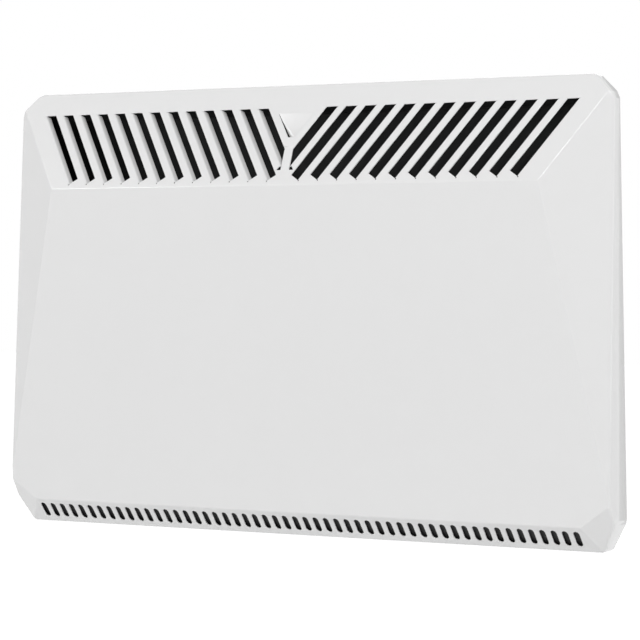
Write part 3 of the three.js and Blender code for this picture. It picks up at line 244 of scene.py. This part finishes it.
def blended(tree, share, first, second):
    node = tree.nodes.new("ShaderNodeMix")
    node.data_type = "RGBA"
    ends = [socket for socket in node.inputs if socket.type == "RGBA"]
    ends[0].default_value = (*first, 1)
    ends[1].default_value = (*second, 1)
    tree.links.new(share, node.inputs[0])
    return [socket for socket in node.outputs if socket.type == "RGBA"][0]


def bumped(tree, shader, heights):
    normal = None
    for height, distance in heights:
        node = tree.nodes.new("ShaderNodeBump")
        node.inputs["Distance"].default_value = distance
        tree.links.new(height, node.inputs["Height"])
        if normal is not None:
            tree.links.new(normal, node.inputs["Normal"])
        normal = node.outputs["Normal"]
    tree.links.new(normal, shader.inputs["Normal"])


def tinted(color, factor):
    return tuple(min(1.0, part * factor) for part in color)


# base colour that wanders between two tints of one colour
def mottled(tree, shader, place, color, patches, tints, detail=2.0):
    share = ranged(tree, noiseOn(tree, place, patches, detail), 0.0, 1.0)
    tone = blended(tree, share, *(tinted(color, tint) for tint in tints))
    tree.links.new(tone, shader.inputs["Base Color"])


# roughness that wanders a little below and above its middle value
def scuffed(tree, shader, value, roughness, spread, *ends):
    less, more = spread
    gloss = ranged(tree, value, roughness - less, roughness + more, *ends)
    tree.links.new(gloss, shader.inputs["Roughness"])


paint = {
    "color": (0.785, 0.785, 0.785),
    "patches": 9.0,
    "tints": (0.997, 1.002),
    "roughness": 0.19,
    "scuffs": 60.0,
    "spread": (0.005, 0.007),
    "peel": 900.0,
    "depth": 0.000001,
}


def whitePaint():
    material, tree, shader, place = newFinish("whitePaint", paint["color"], paint["roughness"])
    mottled(tree, shader, place, paint["color"], paint["patches"], paint["tints"], 3.0)
    scuffs = noiseOn(tree, place, paint["scuffs"], 1.0)
    scuffed(tree, shader, scuffs, paint["roughness"], paint["spread"])
    peel = noiseOn(tree, place, paint["peel"], 0.0)
    bumped(tree, shader, [(peel, paint["depth"])])
    return material


zincCoat = {
    "color": (0.43, 0.445, 0.46),
    "tints": (0.90, 1.06),
    "roughness": 0.42,
    "spread": (0.08, 0.12),
    "spangle": 240.0,
    "spangleDepth": 0.00008,
    "warp": 0.008,  # how far the spangles' outlines wander, in metres
    "warpScale": 60.0,
    "grain": 900.0,
    "grainDepth": 0.00002,
}


def galvanisedSteel():
    color, roughness = zincCoat["color"], zincCoat["roughness"]
    material, tree, shader, place = newFinish("galvanisedSteel", color, roughness, 1.0)
    warp = tree.nodes.new("ShaderNodeTexNoise")
    warp.inputs["Scale"].default_value = zincCoat["warpScale"]
    tree.links.new(place, warp.inputs["Vector"])
    shift = tree.nodes.new("ShaderNodeVectorMath")
    shift.operation = "MULTIPLY_ADD"
    shift.inputs[1].default_value = (zincCoat["warp"],) * 3
    tree.links.new(warp.outputs["Color"], shift.inputs[0])
    tree.links.new(place, shift.inputs[2])
    cells = tree.nodes.new("ShaderNodeTexVoronoi")
    cells.inputs["Scale"].default_value = zincCoat["spangle"]
    tree.links.new(shift.outputs["Vector"], cells.inputs["Vector"])
    split = tree.nodes.new("ShaderNodeSeparateColor")
    tree.links.new(cells.outputs["Color"], split.inputs["Color"])
    tones = [tinted(color, tint) for tint in zincCoat["tints"]]
    tree.links.new(blended(tree, split.outputs["Red"], *tones), shader.inputs["Base Color"])
    scuffed(tree, shader, split.outputs["Green"], roughness, zincCoat["spread"], 0.0, 1.0)
    grain = noiseOn(tree, place, zincCoat["grain"], 2.0)
    spangles = (cells.outputs["Distance"], zincCoat["spangleDepth"])
    bumped(tree, shader, [spangles, (grain, zincCoat["grainDepth"])])
    return material


bareMetal = {"patches": 70.0, "tints": (0.86, 1.08), "spread": (0.06, 0.1)}


def roughMetal(name, color, roughness, grain, depth, along=(1, 1, 1)):
    material, tree, shader, place = newFinish(name, color, roughness, 1.0)
    lines = noiseOn(tree, stretched(tree, place, along), grain, 3.0)
    mottled(tree, shader, place, color, bareMetal["patches"], bareMetal["tints"])
    scuffed(tree, shader, lines, roughness, bareMetal["spread"])
    bumped(tree, shader, [(lines, depth)])
    return material


plastic = {
    "patches": 30.0,
    "tints": (0.93, 1.05),
    "spread": (0.05, 0.07),
    "grain": 1100.0,
    "depth": 0.00003,
}


def moulded(name, color, roughness, grain=plastic["grain"], depth=plastic["depth"]):
    material, tree, shader, place = newFinish(name, color, roughness)
    mottled(tree, shader, place, color, plastic["patches"], plastic["tints"])
    texture = noiseOn(tree, place, grain, 2.0)
    scuffed(tree, shader, texture, roughness, plastic["spread"])
    bumped(tree, shader, [(texture, depth)])
    return material


waveLength = 0.314  # metres from band to band of a wave texture whose scale is 1


def bandsOn(tree, place, direction, pitch):
    wave = tree.nodes.new("ShaderNodeTexWave")
    wave.bands_direction = direction
    wave.inputs["Scale"].default_value = waveLength / (pitch * mm)
    tree.links.new(place, wave.inputs["Vector"])
    return wave.outputs["Fac"]


earthStripes = {
    "pitch": 9.0,
    "green": (0.05, 0.30, 0.05),
    "yellow": (0.78, 0.62, 0.04),
    "edge": (0.55, 0.6),
    "roughness": 0.45,
}


# green insulation with a yellow stripe wound round it
def stripedWire():
    green, yellow = earthStripes["green"], earthStripes["yellow"]
    material, tree, shader, place = newFinish("stripedWire", green, earthStripes["roughness"])
    bands = bandsOn(tree, place, "DIAGONAL", earthStripes["pitch"])
    share = ranged(tree, bands, 0.0, 1.0, *earthStripes["edge"])
    tree.links.new(blended(tree, share, green, yellow), shader.inputs["Base Color"])
    bumped(tree, shader, [(noiseOn(tree, place, plastic["grain"], 2.0), plastic["depth"])])
    return material


screenWeave = {
    "pitch": 1.5,
    "tilt": 52.0,
    "color": (0.012, 0.012, 0.013),
    # near-black tone of the gaps: painted shade behind the screen's openings
    "gap": (0.003, 0.003, 0.003),
    "wire": (0.02, 0.02, 0.021),
    "edge": (0.55, 0.9),
    "depth": 0.0004,
    "roughness": 0.6,
}


# fine woven screen: wires along the heater and wires up the slope of the intake facet; the gaps
# between them are painted darker than the wires, as painted shade seen through the openings
def wovenScreen():
    color, roughness = screenWeave["color"], screenWeave["roughness"]
    material, tree, shader, place = newFinish("wovenScreen", color, roughness)
    slope = math.radians(screenWeave["tilt"])
    turned = stretched(tree, place, (1, 1, 1), (slope, 0, 0))
    top = tree.nodes.new("ShaderNodeMath")
    top.operation = "MAXIMUM"
    for i, direction in enumerate(("X", "Z")):
        bands = bandsOn(tree, turned, direction, screenWeave["pitch"])
        tree.links.new(bands, top.inputs[i])
    share = ranged(tree, top.outputs["Value"], 0.0, 1.0, *screenWeave["edge"])
    # the gaps get a darker tone than the wires: painted shade behind the openings
    tone = blended(tree, share, screenWeave["gap"], screenWeave["wire"])
    tree.links.new(tone, shader.inputs["Base Color"])
    bumped(tree, shader, [(top.outputs["Value"], screenWeave["depth"])])
    return material


finishes = {
    "white_paint": whitePaint(),
    "galvanised_steel": galvanisedSteel(),
    # black paint, darkened to near-black (0.005): real black paint on the parts, and painted shade
    # where the outlet hood stands behind the louvres for the dark interior
    "black_paint": moulded("blackPaint", (0.005, 0.005, 0.0055), 0.6, 700.0, 0.00006),
    "black_mesh": wovenScreen(),
    "cast_aluminium": roughMetal("castAluminium", (0.64, 0.65, 0.66), 0.5, 520.0, 0.00012),
    "stainless_steel": roughMetal(
        "stainlessSteel", (0.50, 0.48, 0.46), 0.33, 300.0, 0.00002, along=(0.1, 4, 4)
    ),
    "zinc_steel": roughMetal("zincSteel", (0.70, 0.71, 0.72), 0.28, 900.0, 0.00001),
    "ceramic": moulded("steatite", (0.80, 0.76, 0.68), 0.55, 1600.0, 0.00003),
    "white_plastic": moulded("whitePlastic", (0.74, 0.74, 0.73), 0.4),
    "black_plastic": moulded("blackPlastic", (0.016, 0.016, 0.017), 0.45),
    "grey_rubber": moulded("greyRubber", (0.07, 0.071, 0.074), 0.82, 800.0, 0.00008),
    "amber_lens": moulded("amberLens", (0.85, 0.36, 0.05), 0.12, 300.0, 0.00001),
    "brown_wire": moulded("brownWire", (0.13, 0.055, 0.025), 0.45),
    "blue_wire": moulded("blueWire", (0.03, 0.13, 0.45), 0.45),
    "green_wire": stripedWire(),
}
print("finishes made:", len(finishes))

slotOf = {part["node"]: part["material_slot"] for part in frame["record"]["subparts"]}
bodyOf = {name: node["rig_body"] for name, node in nodes.items()}
for name, node in nodes.items():
    node.data.materials.clear()
    node.data.materials.append(finishes[slotOf[name]])
print("CAD nodes dressed")


# a piece in its place, with its finish, the body it rides on and the nodes it stands for
def addPiece(name, mesh, slot, body, replaced=(), sharpAbove=40.0):
    piece = bpy.data.objects.new(name, mesh)
    scene.collection.objects.link(piece)
    mesh.materials.clear()
    mesh.materials.append(finishes[slot])
    mesh.shade_smooth()
    mesh.set_sharp_from_angle(angle=math.radians(sharpAbove))
    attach(piece, body)
    if replaced:
        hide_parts(*replaced)
    return piece


def meshFrom(bm, name):
    mesh = bpy.data.meshes.new(name)
    bm.to_mesh(mesh)
    bm.free()
    return mesh


def softenEdges(piece, width, above):
    bevel = piece.modifiers.new("softEdges", "BEVEL")
    bevel.width = width
    bevel.segments = 2
    bevel.limit_method = "ANGLE"
    bevel.angle_limit = math.radians(above)
    bevel.harden_normals = False


def evenNormals(piece):
    weighted = piece.modifiers.new("evenNormals", "WEIGHTED_NORMAL")
    weighted.keep_sharp = True


weld = 0.000002  # corners closer than this are one


# the node's own shape, welded, with soft shading over its folds and, where given, eased edges
def copyOf(node, name, sharpAbove=40.0, edge=0.0):
    bm = bmesh.new()
    bm.from_mesh(nodes[node].data)
    bmesh.ops.remove_doubles(bm, verts=bm.verts, dist=weld)
    piece = addPiece(name, meshFrom(bm, name), slotOf[node], bodyOf[node], [node], sharpAbove)
    if edge:
        softenEdges(piece, edge, sharpAbove)
    evenNormals(piece)
    return piece


# node: piece, the angle above which its edges stay crisp (degrees), their easing (metres)
copies = {
    "front_cover": ("frontCover", 50.0, 0.0),
    "rear_casing": ("rearCasing", 50.0, 0.0),
    # the outlet hood is a near-black sheet behind the louvres: real black paint, and painted shade
    # for the interior seen through the slots
    "outlet_hood": ("outletHood", 40.0, 0.0),
    "heat_shield": ("heatShield", 40.0, 0.0),
    "partition": ("partitionWall", 40.0, 0.0),
    "element_core": ("elementCore", 40.0, 0.0),
    "heating_rod": ("heatingRod", 40.0, 0.0),
    "terminal_pin_left": ("terminalPinLeft", 50.0, 0.0002),
    "terminal_pin_right": ("terminalPinRight", 50.0, 0.0002),
    "ceramic_bush_left": ("ceramicBushLeft", 50.0, 0.0003),
    "ceramic_bush_right": ("ceramicBushRight", 50.0, 0.0003),
    "end_bracket_left": ("endBracketLeft", 40.0, 0.0002),
    "end_bracket_right": ("endBracketRight", 40.0, 0.0002),
    "cutout_bracket": ("cutoutBracket", 40.0, 0.0002),
    "overheat_cutout": ("overheatCutout", 50.0, 0.0003),
    "control_panel": ("controlPanel", 40.0, 0.0006),
    "thermostat_body": ("thermostatBody", 40.0, 0.0005),
    "thermostat_shaft": ("thermostatShaft", 40.0, 0.0002),
    "switch_body": ("switchBody", 50.0, 0.0005),
    "switch_rocker": ("switchRocker", 40.0, 0.0004),
    "indicator_lens": ("indicatorLens", 50.0, 0.0002),
    "gland_nut": ("glandNut", 40.0, 0.0005),
    "terminal_block": ("terminalBlock", 40.0, 0.0005),
    "wall_bracket": ("wallBracket", 50.0, 0.0003),
    "lock_catch_left": ("lockCatchLeft", 40.0, 0.0003),
    "lock_catch_right": ("lockCatchRight", 40.0, 0.0003),
    "live_wire": ("liveWire", 70.0, 0.0),
    "switched_wire": ("switchedWire", 70.0, 0.0),
    "cutout_lead": ("cutoutLead", 70.0, 0.0),
    "element_lead": ("elementLead", 70.0, 0.0),
    "neutral_wire": ("neutralWire", 70.0, 0.0),
    "earth_wire": ("earthWire", 70.0, 0.0),
}
for node, (name, crisp, edge) in copies.items():
    copyOf(node, name, crisp, edge)
print("smooth copies made:", len(copies))


# a turned shape about +Z through the origin; the outline lists radius and distance, in millimetres
def spun(outline, steps=40):
    bm = bmesh.new()
    line = [bm.verts.new((radius * mm, 0, along * mm)) for radius, along in outline]
    edges = [bm.edges.new(pair) for pair in zip(line, line[1:])]
    bmesh.ops.spin(
        bm,
        geom=line + edges,
        cent=(0, 0, 0),
        axis=(0, 0, 1),
        angle=2 * math.pi,
        steps=steps,
        use_merge=True,
    )
    bmesh.ops.remove_doubles(bm, verts=bm.verts, dist=weld)
    bmesh.ops.recalc_face_normals(bm, faces=bm.faces)
    return bm


def put(bm, place, axis, turn=0.0):
    spin = Quaternion((0, 0, 1), turn)
    lean = Vector((0, 0, 1)).rotation_difference(Vector(axis))
    matrix = Matrix.Translation(Vector(place)) @ (lean @ spin).to_matrix().to_4x4()
    bmesh.ops.transform(bm, matrix=matrix, verts=bm.verts)


screwShape = {
    "headHeight": 2.0,
    "dome": [
        (0, -2.0), (1.2, -1.96), (2.3, -1.74), (3.1, -1.22),
        (3.5, -0.6), (3.6, -0.2), (3.5, 0), (1.7, 0),
    ],
    "shank": 1.7,
    "core": 1.35,
    "pitch": 0.8,
    "plain": 0.2,  # shank without a thread under the head
    "lead": 0.5,  # shank without a thread at the tip
    "tip": (0.8, 0.1),  # the tip's flat radius and its distance from the end
    "steps": 24,
    "recess": (3.9, 0.85, 1.1),  # length, width and depth of each bar of the cross
    "turn": 0.9,  # each screw stopped at another angle
}
screwAxes = {
    "cover": (0, -1, 0),
    "hood": (0, -1, 0),
    "element": (0, -1, 0),
    "shield": (0, -1, 0),
    "partition": (0, -1, 0),
    "terminal": (0, -1, 0),
    "panel": (-1, 0, 0),
    "cutout": (-1, 0, 0),
    "earth": (0, 1, 0),
}


def screwMesh(length):
    outline = list(screwShape["dome"])
    along = screwShape["plain"]
    while along + screwShape["pitch"] < length - screwShape["lead"]:
        outline.append((screwShape["shank"], along))
        outline.append((screwShape["core"], along + screwShape["pitch"] / 2))
        along += screwShape["pitch"]
    tipRadius, tipDrop = screwShape["tip"]
    outline += [(screwShape["shank"], along), (tipRadius, length - tipDrop), (0, length)]
    blank = meshFrom(spun(outline, screwShape["steps"]), "screwBlank")
    body = bpy.data.objects.new("screwBlank", blank)
    bm = bmesh.new()
    reach, wide, deep = screwShape["recess"]
    for size in ((reach, wide), (wide, reach)):
        bar = bmesh.ops.create_cube(bm, size=1.0)["verts"]
        bmesh.ops.scale(bm, vec=(size[0] * mm, size[1] * mm, 2 * deep * mm), verts=bar)
        bmesh.ops.translate(bm, vec=(0, 0, -screwShape["headHeight"] * mm), verts=bar)
    cross = bpy.data.objects.new("screwCross", meshFrom(bm, "screwCross"))
    for thing in (body, cross):
        scene.collection.objects.link(thing)
    cut = body.modifiers.new("cross", "BOOLEAN")
    cut.operation = "DIFFERENCE"
    cut.solver = "EXACT"
    cut.use_self = True
    cut.object = cross
    view = bpy.context.evaluated_depsgraph_get()
    mesh = bpy.data.meshes.new_from_object(body.evaluated_get(view))
    for thing in (body, cross):
        bpy.data.objects.remove(thing)
    return mesh


def makeScrews():
    blanks = {}
    names = sorted(name for name in nodes if "_screw" in name)
    for i, name in enumerate(names):
        low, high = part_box(name)
        axis = Vector(screwAxes[name.split("_")[0]])
        middle = (low + high) / 2
        reach = (high - low).dot(Vector([abs(part) for part in axis])) / 2
        head = screwShape["headHeight"] * mm
        seat = middle - axis * (reach - head)
        length = round((2 * reach - head) / mm, 2)
        if length not in blanks:
            blanks[length] = screwMesh(length)
        bm = bmesh.new()
        bm.from_mesh(blanks[length])
        put(bm, seat, axis, screwShape["turn"] * i)
        words = name.split("_")
        piece = words[0] + "".join(word.capitalize() for word in words[1:])
        addPiece(piece, meshFrom(bm, piece), slotOf[name], bodyOf[name], [name], 35.0)
    print("screws made:", len(names))


makeScrews()


def centreOf(name):
    low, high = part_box(name)
    return (low + high) / 2


knob = {
    "radius": 15.0,
    "length": 12.0,
    "columns": 96,
    "fluteEvery": 8,
    "flute": 0.94,  # radius at the bottom of a flute, as a share of the knob's
    "fluteSides": (1.0, 0.62, 0.15),  # share of that depth, column by column from its middle
    "skirt": 3.0,  # plain ring at the back
    "shoulder": 0.6,  # from the ring to the flutes
    "edge": 1.1,
    "rim": 1.6,
    "dish": 0.8,
    "dishWall": 0.7,
    "pointer": (8.5, 1.2, 0.5),  # length, width and thickness
    "pointerEdge": 0.15,
    "pointerOut": 0.55,  # its middle, as a share of the radius
}


# how deep the flute is at a column of the knob, from 0 to 1
def fluteDepth(vert):
    column = round(math.atan2(vert.co.y, vert.co.x) / (2 * math.pi) * knob["columns"])
    column %= knob["fluteEvery"]
    away = min(column, knob["fluteEvery"] - column)
    return knob["fluteSides"][away] if away < len(knob["fluteSides"]) else 0.0


# the knob about +Z, standing on its back
def knobShape():
    radius, length = knob["radius"] * mm, knob["length"] * mm
    skirt, shoulder = knob["skirt"] * mm, knob["shoulder"] * mm
    bm = bmesh.new()
    bmesh.ops.create_circle(bm, cap_ends=True, radius=radius, segments=knob["columns"])
    face = bm.faces[:]
    for i, rise in enumerate((skirt, shoulder, length - skirt - shoulder)):
        made = bmesh.ops.extrude_face_region(bm, geom=face)["geom"]
        if i > 0:  # the first face stays as the knob's back
            bmesh.ops.delete(bm, geom=face, context="FACES_ONLY")
        face = [item for item in made if isinstance(item, bmesh.types.BMFace)]
        ring = [item for item in made if isinstance(item, bmesh.types.BMVert)]
        bmesh.ops.translate(bm, vec=(0, 0, rise), verts=ring)
    for vert in bm.verts:
        if vert.co.z > skirt + weld:
            share = 1 - (1 - knob["flute"]) * fluteDepth(vert)
            bmesh.ops.scale(bm, vec=(share, share, 1), verts=[vert])
    top = max(bm.faces, key=lambda item: item.calc_center_median().z)
    bmesh.ops.bevel(
        bm,
        geom=list(top.edges),
        offset=knob["edge"] * mm,
        segments=3,
        profile=0.5,
        affect="EDGES",
        material=-1,
    )
    top = max(bm.faces, key=lambda item: (item.calc_center_median().z, item.calc_area()))
    bmesh.ops.inset_region(bm, faces=[top], thickness=knob["rim"] * mm, depth=0)
    wall, dish = knob["dishWall"] * mm, knob["dish"] * mm
    bmesh.ops.inset_region(bm, faces=[top], thickness=wall, depth=-dish)
    bmesh.ops.recalc_face_normals(bm, faces=bm.faces)
    return bm


def makeKnob():
    low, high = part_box("thermostat_knob")
    back = Vector((low.x, (low.y + high.y) / 2, (low.z + high.z) / 2))
    bm = knobShape()
    put(bm, back, (1, 0, 0))
    mesh = meshFrom(bm, "thermostatKnob")
    slot = "white_plastic"
    piece = addPiece("thermostatKnob", mesh, slot, "thermostat", ["thermostat_knob"], 38.0)
    evenNormals(piece)
    long, wide, deep = (size * mm for size in knob["pointer"])
    bm = bmesh.new()
    bmesh.ops.create_cube(bm, size=1.0)
    bmesh.ops.scale(bm, vec=(deep, wide, long), verts=bm.verts)
    bmesh.ops.bevel(
        bm,
        geom=bm.edges,
        offset=knob["pointerEdge"] * mm,
        segments=1,
        profile=0.5,
        affect="EDGES",
        material=-1,
    )
    out, up = (knob["length"] - knob["dish"]) * mm, knob["pointerOut"] * knob["radius"] * mm
    bmesh.ops.translate(bm, vec=back + Vector((out, 0, up)), verts=bm.verts)
    addPiece("knobPointer", meshFrom(bm, "knobPointer"), "black_plastic", "thermostat")


makeKnob()
print("knob made")

# radii and sizes in millimetres, sweep in degrees
scale = {
    "inner": 15.9,
    "outer": 17.4,
    "rise": 0.12,
    "ticks": 10,
    "sweep": 270.0,
    "width": 0.36,  # of a tick with no added width
    "widen": 0.36,  # added by the last tick
    "offTick": 0.4,  # share of it that the first tick gets
}


# raised printed ticks round the knob, from off at the top to full
def makeScale():
    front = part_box("control_panel")[1].x
    centre = centreOf("thermostat_knob")
    inner, outer = scale["inner"] * mm, scale["outer"] * mm
    bm = bmesh.new()
    for i in range(scale["ticks"]):
        share = i / (scale["ticks"] - 1)
        turn = Matrix.Rotation(math.radians(scale["sweep"] * share), 3, "X")
        wide = (scale["width"] + scale["widen"] * (share or scale["offTick"])) * mm
        tick = bmesh.ops.create_cube(bm, size=1.0)["verts"]
        bmesh.ops.scale(bm, vec=(2 * scale["rise"] * mm, wide, outer - inner), verts=tick)
        bmesh.ops.translate(bm, vec=(0, 0, (inner + outer) / 2), verts=tick)
        bmesh.ops.rotate(bm, cent=(0, 0, 0), matrix=turn, verts=tick)
    bmesh.ops.translate(bm, vec=(front, centre.y, centre.z), verts=bm.verts)
    addPiece("knobScale", meshFrom(bm, "knobScale"), "black_plastic", bodyOf["control_panel"])


makeScale()

marks = {
    "bar": (0.7, 2.6),  # width and length
    "ring": (1.35, 0.85),  # outer and inner radius
    "rise": 0.12,
    "pivot": 0.3,  # rocker's pivot in front of the panel
    "out": 4.6,  # from the pivot to a mark's middle
    "slope": 13.7,
    "dip": 1.2,
    "tilt": 9.0,
}


def barMark():
    wide, long = marks["bar"]
    bm = bmesh.new()
    bmesh.ops.create_cube(bm, size=1.0)
    bmesh.ops.scale(bm, vec=(2 * marks["rise"] * mm, wide * mm, long * mm), verts=bm.verts)
    return bm


def ringMark():
    outer, inner = marks["ring"]
    rise = marks["rise"]
    outline = [(inner, -rise), (outer, -rise), (outer, rise), (inner, rise), (inner, -rise)]
    bm = spun(outline, 32)
    upright = Matrix.Rotation(math.pi / 2, 3, "Y")
    bmesh.ops.rotate(bm, cent=(0, 0, 0), matrix=upright, verts=bm.verts)
    return bm


# the bar and the ring on the two halves of the rocker
def makeMarks():
    body = centreOf("switch_body")
    pivot = Vector((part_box("control_panel")[1].x + marks["pivot"] * mm, body.y, body.z))
    out, slope = marks["out"] * mm, math.radians(marks["slope"])
    face = marks["dip"] * mm + out * math.tan(slope)
    tilted = Matrix.Rotation(-math.radians(marks["tilt"]), 3, "Y")
    for name, shape, side in (("onMark", barMark, 1), ("offMark", ringMark, -1)):
        bm = shape()
        leant = Matrix.Rotation(-side * slope, 3, "Y")
        bmesh.ops.rotate(bm, cent=(0, 0, 0), matrix=leant, verts=bm.verts)
        bmesh.ops.translate(bm, vec=(face, 0, side * out), verts=bm.verts)
        bmesh.ops.rotate(bm, cent=(0, 0, 0), matrix=tilted, verts=bm.verts)
        bmesh.ops.translate(bm, vec=pivot, verts=bm.verts)
        addPiece(name, meshFrom(bm, name), "black_plastic", "rocker")


makeMarks()
print("scale and switch marks made")

spacer = {
    "outline": [
        (0, 0), (7.6, 0), (8.6, 0.5), (9, 1.4), (9, 4), (8.6, 4.5), (8.6, 5.5), (9, 6),
        (9, 20.6), (8.5, 21.5), (7.8, 21.7), (2.5, 21.7), (2.5, 25.2), (2.0, 25.7), (0, 25.7),
    ],
}
rivet = {
    "outline": [
        (0, 0), (2.2, 0.05), (4.2, 0.4), (5.2, 1.0), (5.5, 1.7), (3, 1.7), (3, 4.3), (4.5, 4.3),
        (4.5, 5.8), (3, 5.8), (3, 7.4), (5.5, 7.4), (5.2, 8.1), (4.2, 8.7), (2.2, 9.05), (0, 9.1),
    ],
}


# a turned piece that stands forwards from its end nearest the wall
def makeTurned(name, node, outline):
    low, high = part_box(node)
    bm = spun(outline)
    put(bm, ((low.x + high.x) / 2, high.y, (low.z + high.z) / 2), (0, -1, 0))
    piece = addPiece(name, meshFrom(bm, name), slotOf[node], bodyOf[node], [node])
    evenNormals(piece)


for side in ("left", "right"):
    makeTurned("wallSpacer" + side.capitalize(), "wall_spacer_" + side, spacer["outline"])
    makeTurned("catchRivet" + side.capitalize(), "catch_rivet_" + side, rivet["outline"])
print("spacers and rivets made")

gland = {
    "outline": [
        (3.8, -9), (6.6, -9), (7.3, -8.6), (7.5, -8), (7.5, -3.4), (7.9, -3), (8.7, -3), (9, -2.6),
        (9, -0.4), (8.6, 0), (6, 0), (6, 11.6), (5.6, 12), (3.8, 12), (3.4, 11), (3.4, -8),
        (3.8, -9),
    ],
    "below": 9.0,  # from its seat under the tray to its lower end
    "steps": 48,
}


def makeGland():
    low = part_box("cord_gland")[0]
    middle = centreOf("cord_gland")
    bm = spun(gland["outline"], gland["steps"])
    put(bm, (middle.x, middle.y, low.z + gland["below"] * mm), (0, 0, 1))
    slot, body = slotOf["cord_gland"], bodyOf["cord_gland"]
    piece = addPiece("cordGland", meshFrom(bm, "cordGland"), slot, body, ["cord_gland"], 40.0)
    evenNormals(piece)


makeGland()
print("gland made")
